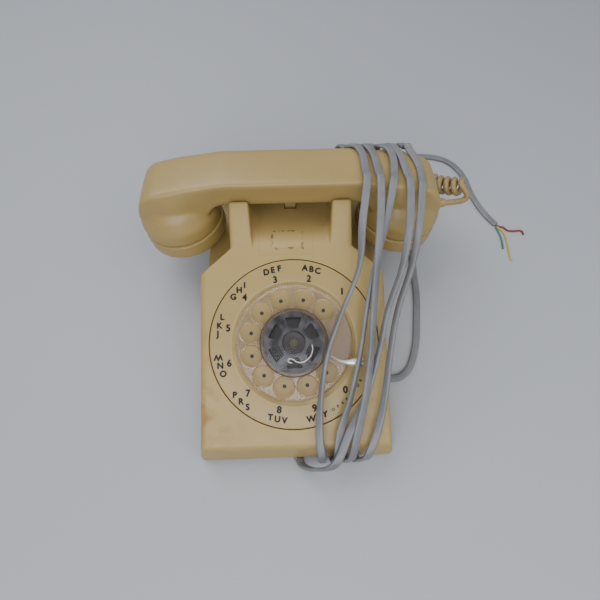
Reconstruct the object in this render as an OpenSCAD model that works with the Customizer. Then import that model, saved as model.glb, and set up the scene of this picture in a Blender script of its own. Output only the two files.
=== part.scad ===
// Rotary wall telephone lying on its back: +X right, +Y to its top, +Z out of the wall plate.
// Places along the body are given from its bottom edge and turned into Y by yy().

/* [Body] */
// Length of the housing from bottom edge to top edge
body_l = 208; // [200:1:220]
// Width of the housing at its rim
body_w = 130; // [126:1:136]
// Lean of each side, from the rim to the face
side_draft = 3.5; // [2.5:0.5:4.5]
// Slope of the face
face_tilt = 20.5; // [19:0.5:22]
// Height of the face's bottom edge
toe_h = 22.5; // [22:0.5:26]
// Lean of the bottom wall
toe_lean = 3.2; // [2:0.2:5]
// Wall of the moulded housing
wall = 2.8; // [2.4:0.1:3.2]
// Gap between the rim and the surface that the pads stand on
rim_z = 3.2; // [3.2:0.1:3.6]
// Radius along the long edges of the face
edge_r = 5; // [4:0.5:6]

/* [Cradle] */
// Distance from the top edge to where the shoulders meet the ears
neck_back = 80.6; // [78:0.2:82]
// Length of the shoulders
shoulder_l = 16; // [14:0.5:18]
// Half width over the ears
ear_out = 41.5; // [40:0.5:43]
// Half width between the ears
ear_in = 27.5; // [26:0.5:28]
// Rise of the ears above the neck, up to their tips
ear_rise = 15; // [14:0.5:16]
// Height of the rear deck beside the cradle
deck_z = 26; // [25:0.5:27]
// Height of the trough between the ears
trough_z = 52; // [51:1:55]

/* [Dial] */
// Centre of the dial from the bottom edge
dial_p = 66; // [65:0.5:67]
// Radius of the number plate
plate_r = 55.5; // [54:0.5:56]
// Gap round the number plate
plate_gap = 0.5; // [0.4:0.1:0.8]
// Radius of the dish that the fingerwheel turns in
dish_r = 40; // [39.5:0.1:41]
// Depth of the dish
dish_d = 2; // [1.5:0.1:2.4]
// Radius of the fingerwheel
wheel_r = 38.1; // [37.5:0.1:38.6]
// Thickness of the fingerwheel
wheel_t = 3.6; // [3:0.1:4.2]
// Height of the fingerwheel's back above the face
wheel_n = 2.6; // [2.2:0.1:3]
// Number of finger holes
finger_holes = 10; // [8:1:10]
// Radius of a finger hole
finger_r = 6.65; // [6:0.05:7]
// Radius of the circle of finger holes
finger_circle_r = 29; // [28.5:0.5:30]
// Angle of the first finger hole
finger_start = 46; // [40:1:50]
// Angle from hole to hole
finger_step = 30; // [28:1:30]
// Angle of the finger stop
stop_angle = -17; // [-20:1:-14]
// Radius of the hub with the card window
hub_r = 20.5; // [19:0.5:21]

/* [Handset] */
// Distance from the top edge to the middle of the handle
handset_back = 34.5; // [34:0.1:36]
// Height of the handle's back
handset_z = 95.5; // [95:0.5:98]
// Lean of the handset
handset_lean = 5; // [4:0.5:6]
// Length of the handset
handset_l = 219; // [214:1:222]
// Width of the handle
handle_w = 36.5; // [34:0.5:38]
// Height of the handle
handle_h = 22.5; // [21:0.5:23]
// Height of the handset from its back to the faces of its caps
handset_h = 63; // [61:1:65]
// Half the distance between the middles of the caps
cap_x = 80.7; // [79:0.1:82]
// Radius of the caps
cap_r = 30; // [29:0.5:31]
// Height of the caps
cap_h = 15; // [13:0.5:16]
// Turn of each cap towards the other
cap_in = 7; // [4:1:9]
// Drop of the handset's back at its ends
back_drop = 10; // [9:1:12]

/* [Cords] */
// Width of the flat line cord
cord_w = 5.2; // [5:0.1:5.3]
// Thickness of the flat line cord
cord_t = 2.6; // [2.2:0.1:2.7]
// Diameter of the curled cord's strand
strand_d = 4.4; // [4:0.1:4.6]
// Outer diameter of the curls
curl_d = 14.6; // [14:0.2:15]
// Number of curls
curls = 40; // [34:1:41]
// Diameter of a bared conductor
wire_d = 1.5; // [1.2:0.1:1.8]

/* [Ringer] */
// Radius of a gong
gong_r = 21; // [19:0.5:22]
// Height of a gong
gong_h = 9; // [8:0.5:10]
// Half the distance between the gongs
gong_x = 27; // [27:0.5:28]
// Distance from the top edge to the middle of the gongs
gong_back = 38; // [37:0.5:40]

/* [Mounts] */
// Radius of a round keyhole entry
keyhole_r = 4.75; // [4.5:0.05:5]
// Distance between the keyholes
keyhole_pitch = 102; // [98:1:104]
// Running gap on a turning shaft
running = 0.05; // [0.03:0.01:0.08]
// Gap between pieces that are fitted together
fit_gap = 0.3; // [0.2:0.05:0.4]

/* [Hidden] */
$fn = 64;

ivory = [0.76, 0.68, 0.50];
zinc = [0.70, 0.70, 0.68];
brass = [0.72, 0.58, 0.30];
grey = [0.45, 0.46, 0.46];
half_l = body_l / 2;
half_w = body_w / 2;
face_half = half_w - side_draft;
neck_p = body_l - neck_back;
shoulder_p = neck_p - shoulder_l;
handset_p = body_l - handset_back;
gong_p = body_l - gong_back;
slope = tan(face_tilt);
plate_top = 6.6;
plate_t = 1.6;
plate_z = plate_top - plate_t;
plate_side_gap = 0.5;
deck_start = 70;
block_top_gap = 0.4;
rear_r = 7;
shoulder_more = (half_w + 5 - face_half) * (neck_p - shoulder_p) / (face_half - ear_out);
dial_y = dial_p - half_l;
dial_z = face_height(dial_p);
wheel_top = wheel_n + wheel_t;
shaft_r = 3;
module_t = 1;
main_teeth = 44;
pinion_teeth = 12;
gear_n = -9;
gear_t = 2;
frame_n = -13;
frame_t = 2;
plate_thick = 1.8;
cover_n = -21;
gear_gap = (main_teeth + pinion_teeth) * module_t / 2;
pinion_angle = 90;
handle_under = handset_z - handle_h;

function yy(p) = p - half_l;
function face_height(p) = toe_h + slope * (p - toe_lean);
function unit(v) = v / norm(v);
function mid_angle(u, v) = acos(max(-1, min(1, u * v)));

// Arc that rounds corner b of the path a-b-c, with c_r as its radius
function corner_arc(a, b, c, c_r, steps = 5) =
  let (u = unit([a[0] - b[0], a[1] - b[1]]), v = unit([c[0] - b[0], c[1] - b[1]]))
  let (half = mid_angle(u, v) / 2, m = unit(u + v), o = [b[0], b[1]] + m * c_r / sin(half))
  let (p0 = [b[0], b[1]] + u * c_r / tan(half) - o, p1 = [b[0], b[1]] + v * c_r / tan(half) - o)
  let (a0 = atan2(p0[1], p0[0]), turn = atan2(p0[0] * p1[1] - p0[1] * p1[0], p0 * p1))
  [for (i = [0:steps]) o + c_r * [cos(a0 + turn * i / steps), sin(a0 + turn * i / steps)]];

// Outline whose points are [x, y, corner radius]
function rounded(points, steps = 5) =
  let (n = len(points))
  [for (i = [0:n - 1])
    for (q = points[i][2] > 0
      ? corner_arc(points[(i + n - 1) % n], points[i], points[(i + 1) % n], points[i][2], steps)
      : [[points[i][0], points[i][1]]]) q];

// Solid that runs across the body, from its [place along the body, height] outline
module across(outline, width) {
  translate([-width / 2, 0, 0])
    rotate([90, 0, 90])
      linear_extrude(width)
        polygon([for (q = outline) [yy(q[0]), q[1]]]);
}

// Frame of the sloping face, with the dial's middle as its origin
module on_face(n = 0) {
  translate([0, dial_y, dial_z])
    rotate([face_tilt, 0, 0])
      translate([0, 0, n])
        children();
}

// Frame of the handset, with the middle of its back as its origin
module on_handset() {
  translate([0, yy(handset_p), handset_z])
    rotate([-handset_lean, 0, 0])
      children();
}

// ---- housing ----

// Side view of the low, full-width rear part
function low_outline(g) = rounded([
  [deck_start - g, -1, 0],
  [deck_start - g, deck_z - g, 0],
  [body_l - g, deck_z - g, rear_r - g],
  [body_l - g, -1, 0]
]);

// Plan of the full-width lower part
function lower_plan(g) = rounded([
  [-half_w + g, g, 4],
  [half_w - g, g, 4],
  [half_w - g, body_l - g, 8],
  [-half_w + g, body_l - g, 8]
]);

// Plan of the raised part that carries the handset
function upper_plan(g) = rounded([
  [-half_w - 5 + g, -5, 0],
  [half_w + 5 - g, -5, 0],
  [half_w + 5 - g, shoulder_p - shoulder_more - g / 2, 0],
  [ear_out - g, neck_p - g / 2, 3],
  [ear_out - g, block_end - g, 6],
  [-ear_out + g, block_end - g, 6],
  [-ear_out + g, neck_p - g / 2, 3],
  [-half_w - 5 + g, shoulder_p - shoulder_more - g / 2, 0]
]);

ear_tip_p = handset_p - handle_w / 2 - 0.6;
ear_tip_z = face_height(neck_p) + ear_rise;
saddle_z = handle_under - block_top_gap;
ledge_p = handset_p + handle_w / 2 - 3;
ledge_z = 60;
block_end = body_l - 4;

// Side view of the raised part: face, ears, saddle under the handle and rear block
function upper_outline(g) = rounded([
  [g, -1, 0],
  [toe_lean + g, toe_h - g, 6 - g],
  [neck_p, face_height(neck_p) - g / cos(face_tilt), 40],
  [ear_tip_p - g / 2, ear_tip_z - g, 1.6],
  [ear_tip_p - g / 2, saddle_z - g + 1.3, 0],
  [ledge_p - g / 2, saddle_z - 3 - g, 3],
  [ledge_p - g / 2, ledge_z - g, 0],
  [block_end - g, ledge_z - g, 4],
  [block_end - g, -1, 0]
]);

module housing_form(g) {
  intersection() {
    across(low_outline(g), body_w);
    translate([0, 0, -1]) linear_extrude(100) polygon([for (q = lower_plan(g)) [q[0], yy(q[1])]]);
  }
  intersection() {
    across(upper_outline(g), body_w);
    translate([0, 0, -1]) linear_extrude(110) polygon([for (q = lower_plan(g)) [q[0], yy(q[1])]]);
    translate([0, 0, -1]) linear_extrude(110) polygon([for (q = upper_plan(g)) [q[0], yy(q[1])]]);
    on_face()
      translate([0, body_l, 0]) rotate([90, 0, 0]) linear_extrude(2 * body_l)
        polygon(rounded([
          [-half_w - 4 + g, -75, 0], [-face_half + g, -g, edge_r],
          [-ear_out, -g, 0], [-ear_out, 30, 0], [ear_out, 30, 0], [ear_out, -g, 0],
          [face_half - g, -g, edge_r], [half_w + 4 - g, -75, 0]
        ]));
  }
}

// Hollow between the ears: it rolls off the face without an edge and falls to the trough under the handle
roll_p = neck_p - 6;
roll_r = 25;
roll_lift = 0.3;
fall_tilt = 20;
trough_start = handset_p + 4;
trough_end = ledge_p - 3;
hollow_top = 60;

function roll_points(g) = [for (a = [face_tilt:-(face_tilt + fall_tilt) / 8:-fall_tilt])
  [roll_p + (roll_r - g) * (sin(face_tilt) - sin(a)),
   face_height(roll_p) + roll_lift - g / cos(face_tilt) + (roll_r - g) * (cos(a) - cos(face_tilt))]];

module cradle_hollow(g) {
  roll = roll_points(g);
  low = roll[len(roll) - 1];
  intersection() {
    across(concat([[roll[0][0], low[1] + hollow_top]], roll, [
      [trough_start, low[1] - tan(fall_tilt) * (trough_start - low[0])],
      [trough_end + g, low[1] - tan(fall_tilt) * (trough_start - low[0])],
      [trough_end + 1 + g, low[1] + hollow_top]
    ]), 2 * ear_in + 2 * g);
    translate([0, 0, -1]) linear_extrude(130) polygon([for (q = rounded([
      [-ear_in + 2.8 - g, roll_p - 6 - g, 0],
      [ear_in - 2.8 + g, roll_p - 6 - g, 0],
      [ear_in + g, ear_tip_p, 0],
      [ear_in + g, trough_end + 2 + g, 4],
      [-ear_in - g, trough_end + 2 + g, 4],
      [-ear_in - g, ear_tip_p, 0]
    ])) [q[0], yy(q[1])]]);
  }
}

post_places = [for (x = [-1, 1]) for (p = [22, body_l - 22]) [x * (face_half - 9.5), p]];
post_r = 4.2;
post_hole_r = 1.5;
lever_slot_w = 13;
wheel_slot_w = 24;
loudness_x = 0;
loudness_p = body_l - 12;
loudness_z = 13;

module housing() {
  color(ivory) {
    difference() {
      housing_form(0);
      difference() {
        housing_form(wall);
        cradle_hollow(wall);
      }
      cradle_hollow(0);
      translate([-body_w, -body_l, -20]) cube([2 * body_w, 2 * body_l, 20 + rim_z]);
      on_face(-20) cylinder(r = plate_r + plate_gap, h = 60);
      translate([-lever_slot_w / 2, yy(hook_slot_p), trough_z - 12]) cube([lever_slot_w, hook_slot_l, 32]);
      translate([-wheel_slot_w / 2, yy(body_l - 8), loudness_z - 2.6]) cube([wheel_slot_w, 20, 5.2]);
      translate([lead_in_x, yy(body_l - 10), lead_in_z]) rotate([-90, 0, 0]) cylinder(r = grommet_r, h = 20);
    }
    for (q = post_places)
      translate([q[0], yy(q[1]), plate_top + 0.02])
        difference() {
          cylinder(r = post_r, h = post_height(q));
          translate([0, 0, -1]) cylinder(r = post_hole_r, h = 10);
        }
  }
}

function post_height(q) =
  q[1] < deck_start ? face_height(q[1] - post_r) - wall - plate_top : deck_z - wall - plate_top + 0.5;

// ---- base plate ----

pads = [
  [3.5 - face_half, 12, 18, 26], [face_half - 12.7, 12, 9.5, 22],
  [3.5 - face_half, body_l - 40, 18, 26], [6, body_l - 40, 18, 26]
];
key_y = [yy(body_l / 2) - keyhole_pitch / 2, yy(body_l / 2) + keyhole_pitch / 2];
key_x = -20;

plate_half = face_half - wall + 0.6;

module base_plate() {
  inset = wall + plate_side_gap;
  color(zinc) difference() {
    union() {
      translate([0, 0, plate_z])
        linear_extrude(plate_t)
          polygon([for (q = rounded([
            [-plate_half, inset + 1, 3], [plate_half, inset + 1, 3],
            [plate_half, body_l - inset, 6], [-plate_half, body_l - inset, 6]
          ])) [q[0], yy(q[1])]]);
      for (q = pads)
        translate([q[0], yy(q[1]), 0])
          linear_extrude(plate_z)
            polygon(rounded([[0, 0, 3], [q[2], 0, 3], [q[2], q[3], 3], [0, q[3], 3]]));
    }
    for (y = key_y)
      translate([key_x, y, -1]) {
        cylinder(r = keyhole_r, h = 20);
        translate([-2.4, 0, 0]) cube([4.8, 11, 20]);
      }
    for (q = post_places)
      translate([q[0], yy(q[1]), -1]) cylinder(r = screw_r + 0.3, h = 20);
    for (q = post_places)
      translate([q[0], yy(q[1]), -1]) cylinder(r = head_r + fit_gap, h = plate_z + 1);
  }
}

screw_r = 1.4;
head_r = 3;
head_h = 1.6;

module housing_screws() {
  color(zinc) for (q = post_places)
    translate([q[0], yy(q[1]), plate_z - head_h]) {
      cylinder(r = head_r, h = head_h);
      cylinder(r = screw_r, h = 8);
    }
}

// ---- network ----

net_w = 64;
net_l = 32;
net_h = 19;
net_p = neck_p - 47.4;

module network_block() {
  color([0.25, 0.25, 0.27]) {
    translate([-net_w / 2, yy(net_p), plate_top])
      linear_extrude(net_h - 3)
        polygon(rounded([[0, 0, 3], [net_w, 0, 3], [net_w, net_l, 3], [0, net_l, 3]]));
    translate([-net_w / 2 + 3, yy(net_p) + 3, plate_top + net_h - 3])
      cube([net_w - 6, net_l - 6, 3]);
  }
}

module terminal_screws() {
  color(brass) for (i = [0:6]) for (j = [0:1])
    translate([-24 + 8 * i, yy(net_p + 8 + 18 * j), plate_top + net_h])
      difference() {
        cylinder(r = 2.6, h = 2);
        translate([-3, -0.3, 1.3]) cube([6, 0.6, 2]);
      }
}

// ---- ringer ----

coil_r = 8;
coil_l = 26;
coil_p = gong_p - 46;
coil_z = plate_top + 11;
post_h = 3;
clap_p = gong_p - 30;
clap_pin_r = 1.2;

module ringer_frame() {
  color(zinc) {
    translate([-20, yy(coil_p - 9), plate_top]) cube([40, 32, 1.5]);
    for (s = [-1, 1])
      translate([s * (coil_l / 2 + 1) - 1, yy(coil_p - 9), plate_top + 1.5]) cube([2, 18, 18]);
  }
}

module ringer_coil() {
  color([0.55, 0.25, 0.15])
    translate([-coil_l / 2, yy(coil_p), coil_z])
      rotate([0, 90, 0]) {
        cylinder(r = coil_r, h = coil_l);
      }
}

module clapper_pin() {
  color(zinc)
    translate([0, yy(clap_p), plate_top + 1.5]) cylinder(r = clap_pin_r, h = 6);
}

// The clapper rocks about an upright pin and its ball strikes the gongs in turn
module clapper() {
  color(zinc)
    translate([0, yy(clap_p), plate_top + 1.5 + fit_gap]) {
      difference() {
        union() {
          cylinder(r = 3, h = 4.5);
          translate([-1, 0, 2.5]) cube([2, gong_p - clap_p, 2]);
          translate([0, gong_p - clap_p, 4]) sphere(r = gong_x - gong_r - 2);
        }
        translate([0, 0, -1]) cylinder(r = clap_pin_r + running, h = 10);
      }
    }
}

module gong_posts() {
  color(zinc) for (s = [-1, 1])
    translate([s * gong_x, yy(gong_p), plate_top]) {
      cylinder(r = 3.4, h = post_h);
      cylinder(r = 1.6, h = post_h + gong_h + 2);
      translate([0, 0, post_h + gong_h]) cylinder(r = 3.2, h = 2);
    }
}

module gong(height) {
  difference() {
    translate([0, 0, 0])
      rotate_extrude()
        polygon(rounded([
          [1.7, height - 1.2, 0], [gong_r - 5, height - 1.2, 5], [gong_r - 1.2, height - 7, 3],
          [gong_r - 1.2, 0, 0], [gong_r, 0, 0], [gong_r, height - 6, 6], [gong_r - 6, height, 5],
          [1.7, height, 0]
        ], 4));
    translate([0, 0, -1]) cylinder(r = 1.7, h = height + 2);
  }
}

module low_gong() {
  color(brass) translate([-gong_x, yy(gong_p), plate_top + post_h]) gong(gong_h);
}

module high_gong() {
  color(brass) translate([gong_x, yy(gong_p), plate_top + post_h]) gong(gong_h);
}

module loudness_pin() {
  color(zinc) translate([loudness_x, yy(loudness_p), plate_top]) cylinder(r = 2, h = 9.5);
}

loudness_r = 11;

module loudness_wheel() {
  color([0.2, 0.2, 0.2])
    translate([loudness_x, yy(loudness_p), loudness_z - 1.8])
      difference() {
        union() {
          cylinder(r = loudness_r, h = 3.6);
          for (i = [0:29])
            rotate([0, 0, 12 * i]) translate([loudness_r - 0.2, -0.5, 0]) cube([0.8, 1, 3.6]);
        }
        translate([0, 0, -1]) cylinder(r = 2 + running, h = 6);
      }
}

// ---- hookswitch ----

hook_p = handset_p - 33.5;
hook_z = 42;
hook_pin_r = 1.6;
hook_slot_p = handset_p - 14;
hook_slot_l = 24;
pad_p = handset_p - 2;
pad_r = 4;
pad_gap = 1;

module hookswitch_frame() {
  color(zinc) for (s = [-1, 1])
    translate([s * 9 - 1, yy(hook_p) - 5, plate_top + 24])
      difference() {
        cube([2, 10, hook_z - plate_top - 24 + 4]);
        translate([-1, 5, hook_z - plate_top - 24]) rotate([0, 90, 0]) cylinder(r = hook_pin_r, h = 4);
      }
  color(zinc) translate([-10, yy(hook_p) - 5, plate_top + 22.4]) cube([20, 10, 1.6]);
  color(zinc) for (s = [-1, 1])
    translate([s * 21 - 1, yy(hook_p) - 5, plate_top]) cube([2, 10, 24]);
  color(zinc) for (s = [-1, 1])
    translate([s > 0 ? 10 : -20, yy(hook_p) - 5, plate_top + 22.4]) cube([10, 10, 1.6]);
}

module hook_pin() {
  color(zinc)
    translate([-11, yy(hook_p), hook_z]) rotate([0, 90, 0]) cylinder(r = hook_pin_r, h = 22);
}

module hook_lever() {
  color([0.9, 0.88, 0.8]) difference() {
    union() {
      translate([-7, yy(hook_p), hook_z]) rotate([0, 90, 0]) cylinder(r = 4, h = 14);
      translate([-4, yy(hook_p), hook_z - 1.5]) cube([8, pad_p - hook_p, 3]);
      translate([-4, yy(pad_p) - 4, hook_z - 1.5]) cube([8, 8, handle_under - pad_gap - pad_r - hook_z]);
      translate([-5.5, yy(pad_p), handle_under - pad_gap - pad_r - 0.2])
        rotate([0, 90, 0]) cylinder(r = pad_r, h = 11);
    }
    translate([-20, yy(hook_p), hook_z]) rotate([0, 90, 0]) cylinder(r = hook_pin_r + running, h = 40);
  }
}

// Spring washer on the lever's pin
module hook_spring() {
  color(zinc) translate([7.15, yy(hook_p), hook_z]) rotate([0, 90, 0])
    difference() {
      cylinder(r = 3.6, h = 0.7);
      translate([0, 0, -1]) cylinder(r = hook_pin_r + 0.3, h = 3);
    }
}

module contact_pile() {
  color(brass) for (i = [0:4])
    translate([-20, yy(hook_p) - 3, plate_top + 25.8 + 2.2 * i]) cube([8, 22, 0.4]);
  color([0.3, 0.2, 0.15]) for (i = [0:4])
    translate([-20, yy(hook_p) - 3, plate_top + 24 + 2.2 * i]) cube([8, 6, 1.8]);
}

// ---- dial ----

module dial_bracket() {
  color(zinc) {
    for (s = [-1, 1]) {
      translate([s * 50 - 3, yy(dial_p - 16), plate_top]) cube([6, 32, 1.6]);
      intersection() {
        translate([s * 50 - 1, yy(dial_p - 14), plate_top]) cube([2, 28, 60]);
        on_face(-50) translate([-80, -80, 0]) cube([160, 160, 50 - plate_thick - 6]);
      }
      on_face(-plate_thick - 6) intersection() {
        translate([-80, -15, 0]) cube([160, 30, 1.6]);
        translate([s * 50 - 6, -15, 0]) cube([8, 30, 1.6]);
      }
    }
  }
}

module dial_frame() {
  color(zinc) on_face(frame_n)
    difference() {
      cylinder(r = 46, h = frame_t);
      translate([0, 0, -1]) cylinder(r = shaft_r + running, h = frame_t + 2);
      rotate([0, 0, pinion_angle]) translate([gear_gap, 0, -1]) cylinder(r = 1 + running, h = frame_t + 2);
      for (a = [30:120:270]) rotate([0, 0, a]) translate([30, 0, -1]) cylinder(r = 7, h = frame_t + 2);
    }
}

module dial_cover() {
  color([0.85, 0.85, 0.82]) on_face(cover_n)
    difference() {
      cylinder(r = 43, h = frame_n - cover_n);
      translate([0, 0, 1.5]) cylinder(r = 41.5, h = 30);
    }
}

// The plate's top is flush with the face, and its dish holds the fingerwheel
module number_plate() {
  color(ivory) on_face()
    difference() {
      rotate_extrude()
        polygon(rounded([
          [shaft_r + running, -dish_d, 0], [dish_r - 1, -dish_d, 1], [dish_r + 1.2, 0, 1],
          [plate_r, 0, 0.8], [plate_r, -plate_thick, 0], [dish_r + 2, -plate_thick, 0],
          [dish_r, -dish_d - plate_thick, 1], [shaft_r + running, -dish_d - plate_thick, 0]
        ], 4));
      translate([0, 0, -10]) cylinder(r = shaft_r + running, h = 20);
    }
}

stop_reach = 15;

// The finger stop is a curved blade that rises from the plate beside the wheel
module finger_stop() {
  color([0.85, 0.85, 0.86]) on_face() rotate([0, 0, stop_angle]) {
    translate([wheel_r + 1.2, -2.6, 0]) cube([4.6, 5.2, wheel_top + 1.7]);
    translate([wheel_r - stop_reach, 0, wheel_top + 0.4])
      linear_extrude(1.3)
        polygon(rounded([
          [-1, 2.4, 0.4], [8, -1.6, 8], [stop_reach + 5.8, -2.6, 0.5],
          [stop_reach + 5.8, 2.6, 0.5], [9, 1.6, 8], [-0.4, 3.4, 0.4]
        ]));
  }
}

module main_shaft() {
  color(zinc) on_face(cover_n + 2.2) cylinder(r = shaft_r, h = wheel_n - 0.4 - cover_n - 2.2);
}

// Spur gear with straight-flanked teeth
module gear(teeth, thick, bore) {
  pitch_r = teeth * module_t / 2;
  step = 360 / teeth;
  difference() {
    linear_extrude(thick)
      polygon([for (i = [0:teeth - 1]) for (k = [[-0.30, -1.15], [-0.14, 0.85], [0.14, 0.85], [0.30, -1.15]])
        (pitch_r + k[1] * module_t) * [cos((i + k[0]) * step), sin((i + k[0]) * step)]]);
    if (bore > 0) translate([0, 0, -1]) cylinder(r = bore, h = thick + 2);
  }
}

module main_gear() {
  color(brass) on_face(gear_n) gear(main_teeth, gear_t, shaft_r + 0.02);
}

module governor_pinion() {
  color(brass) on_face() rotate([0, 0, pinion_angle]) translate([gear_gap, 0, 0]) {
    translate([0, 0, gear_n]) rotate([0, 0, 180 / pinion_teeth + 180 - pinion_angle]) rotate([0, 0, pinion_angle])
      gear(pinion_teeth, gear_t, 0);
    translate([0, 0, frame_n - 6]) cylinder(r = 1, h = gear_n - frame_n + 6);
    translate([0, 0, frame_n - 5.4]) cylinder(r = 6, h = 4.6);
  }
}

module governor_cup() {
  color(zinc) on_face() rotate([0, 0, pinion_angle]) translate([gear_gap, 0, frame_n - 6.2])
    difference() {
      cylinder(r = 8, h = 6.2);
      translate([0, 0, 0.6]) cylinder(r = 6.8, h = 10);
      translate([0, 0, -1]) cylinder(r = 1 + running, h = 4);
    }
}

module pulse_contacts() {
  color(brass) on_face(frame_n - 5) rotate([0, 0, 200])
    for (i = [0:2]) translate([20, -8, 1.5 * i]) cube([12, 5, 0.4]);
  color([0.3, 0.2, 0.15]) on_face(frame_n - 5) rotate([0, 0, 200])
    translate([28, -9, 0.4]) cube([4, 7, 1.1]);
  color([0.3, 0.2, 0.15]) on_face(frame_n - 5) rotate([0, 0, 200])
    translate([28, -9, 1.9]) cube([4, 7, 1.1]);
  color([0.3, 0.2, 0.15]) on_face(frame_n - 5) rotate([0, 0, 200])
    translate([28, -9, 3.4]) cube([4, 7, 1.6]);
}

hub_bore_r = 1.5;

// Clear wheel with bevelled finger holes and a recessed middle
module fingerwheel() {
  color([0.85, 0.86, 0.84, 0.5]) on_face(wheel_n)
    difference() {
      rotate_extrude()
        polygon(rounded([
          [0, 0, 0], [wheel_r - 1, 0, 1], [wheel_r, wheel_t * 0.6, 1], [wheel_r - 1.4, wheel_t, 1.2],
          [hub_r + 1.2, wheel_t, 0], [hub_r + 1.2, wheel_t - 2, 0], [0, wheel_t - 2, 0]
        ], 4));
      translate([0, 0, -1]) cylinder(r = hub_bore_r, h = wheel_t + 2);
      for (i = [0:finger_holes - 1])
        rotate([0, 0, finger_start + finger_step * i])
          translate([finger_circle_r, 0, 0]) {
            translate([0, 0, -1]) cylinder(r = finger_r, h = wheel_t + 2);
            translate([0, 0, wheel_t - 0.5]) cylinder(r1 = finger_r, r2 = finger_r + 0.6, h = 0.6 + running);
          }
    }
}

hub_floor = wheel_n + wheel_t - 2;

module card_holder() {
  color([0.5, 0.5, 0.5]) on_face(hub_floor + 0.02)
    difference() {
      cylinder(r = hub_r - 0.4, h = 0.8);
      for (a = [30:60:330])
        rotate([0, 0, a])
          translate([0, 0, -1])
            linear_extrude(3)
              polygon(rounded([[9.5, -3, 0.6], [16.5, -5.5, 0.8], [16.5, 5.5, 0.8], [9.5, 3, 0.6]]));
      translate([0, 0, -1]) cylinder(r = hub_bore_r, h = 4);
    }
}

module card_spring() {
  color([0.55, 0.5, 0.4]) on_face(hub_floor + 0.84)
    linear_extrude(0.7)
      difference() {
        union() {
          for (i = [-60:10:60]) translate([9.5 * cos(i - 60), 9.5 * sin(i - 60)]) circle(r = 0.9);
        }
        circle(r = 8.7);
      }
}

module hub_screw() {
  color(brass) on_face(hub_floor + 0.84) {
    difference() {
      cylinder(r = 2.6, h = 1.4);
      translate([-0.35, -3, 0.8]) cube([0.7, 6, 2]);
    }
    translate([0, 0, -1.6]) cylinder(r = 1.45, h = 1.6);
  }
}

module card_window() {
  color([0.9, 0.92, 0.92, 0.3]) on_face()
    rotate_extrude()
      polygon(rounded([
        [0, wheel_top + 2.6, 0], [hub_r - 6, wheel_top + 2.2, 10], [hub_r + 1, wheel_top + 0.8, 0.6],
        [hub_r + 1, wheel_top - 1.6, 0], [hub_r, wheel_top - 1.6, 0], [hub_r, wheel_top + 0.1, 0.4],
        [hub_r - 6, wheel_top + 1.4, 10], [0, wheel_top + 1.8, 0]
      ], 4));
}

// ---- handset ----

end_w = handset_l / 2;

end_drop_w = 38;

// Side view of the handle: flat back that rolls down at its ends, arched underside
function handle_side() = rounded([
  [-end_w, -end_drop_w, 0], [-end_w + 8.5, -back_drop, 18], [-74, -4.2, 60], [-46, 0, 60],
  [46, 0, 60], [74, -4.2, 60], [end_w - 8.5, -back_drop, 18], [end_w, -end_drop_w, 0],
  [cap_x + 4, -44, 0], [60, -36, 6], [52, -handle_h, 12],
  [-52, -handle_h, 12], [-60, -36, 6], [-cap_x - 4, -44, 0]
]);

// Plan of the handle, with its rounded ends
function handle_plan() = rounded([
  [-end_w, -handle_w / 2 + 1, 9], [-end_w + 12, -handle_w / 2 - 1, 0], [end_w - 12, -handle_w / 2 - 1, 0],
  [end_w, -handle_w / 2 + 1, 9], [end_w, handle_w / 2 - 1, 9], [end_w - 12, handle_w / 2 + 1, 0],
  [-end_w + 12, handle_w / 2 + 1, 0], [-end_w, handle_w / 2 - 1, 9]
]);

function handle_section() = rounded([
  [-handle_w / 2, -0.1, 3], [handle_w / 2, -0.1, 3], [handle_w / 2 - 2, -13, 6],
  [handle_w / 2 - 6, -60, 0], [-handle_w / 2 + 6, -60, 0], [-handle_w / 2 + 2, -13, 6]
]);

// Frame of one cap, with the middle of its joint as origin and +Z into the cup
module on_cap(s) {
  translate([s * cap_x, 0, -handset_h + cap_h])
    rotate([0, s * cap_in, 0])
      children();
}

module handset_shell() {
  color(ivory) on_handset()
    difference() {
      union() {
        intersection() {
          translate([0, 40, 0]) rotate([90, 0, 0]) linear_extrude(80) polygon(handle_side());
          translate([-end_w, 0, 0]) rotate([90, 0, 90]) linear_extrude(handset_l) polygon(handle_section());
          linear_extrude(200, center = true) polygon(handle_plan());
        }
        for (s = [-1, 1])
          on_cap(s)
            rotate_extrude()
              polygon(rounded([
                [0, 0, 0], [cap_r - 0.8, 0, 0.4], [cap_r - 0.3, 10, 10], [cap_r - 6, 22, 14],
                [cap_r - 18, 30, 8], [0, 31, 0]
              ], 4));
      }
      for (s = [-1, 1])
        on_cap(s) {
          translate([0, 0, -1]) cylinder(r = cap_r - 3.1, h = 11);
          translate([0, 0, 5]) cylinder(r = cap_r - 10, h = 12);
        }
    }
}

// Screwed cap with a shallow dish and its sound holes
module handset_cap(s, holes, circle_r, hole_r) {
  color(ivory) on_handset() on_cap(s)
    difference() {
      rotate_extrude()
        polygon(rounded([
          [0, -cap_h + 1.6, 0], [cap_r - 9, -cap_h + 1.2, 8], [cap_r - 5, -cap_h, 2], [cap_r, -cap_h + 4, 3],
          [cap_r, -0.6, 0.5], [cap_r - 0.8, -0.1, 0], [cap_r - 3.2, -0.1, 0], [cap_r - 3.2, -cap_h + 4.4, 1],
          [0, -cap_h + 4.2, 0]
        ], 4));
      for (i = [0:holes - 1])
        rotate([0, 0, 360 * i / holes]) translate([circle_r, 0, -cap_h - 1]) cylinder(r = hole_r, h = 10);
      translate([0, 0, -cap_h - 1]) cylinder(r = hole_r, h = 10);
    }
}

module receiver_cap() { handset_cap(-1, 6, 7, 1.3); }
module transmitter_cap() { handset_cap(1, 12, 11, 1.1); }

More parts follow.
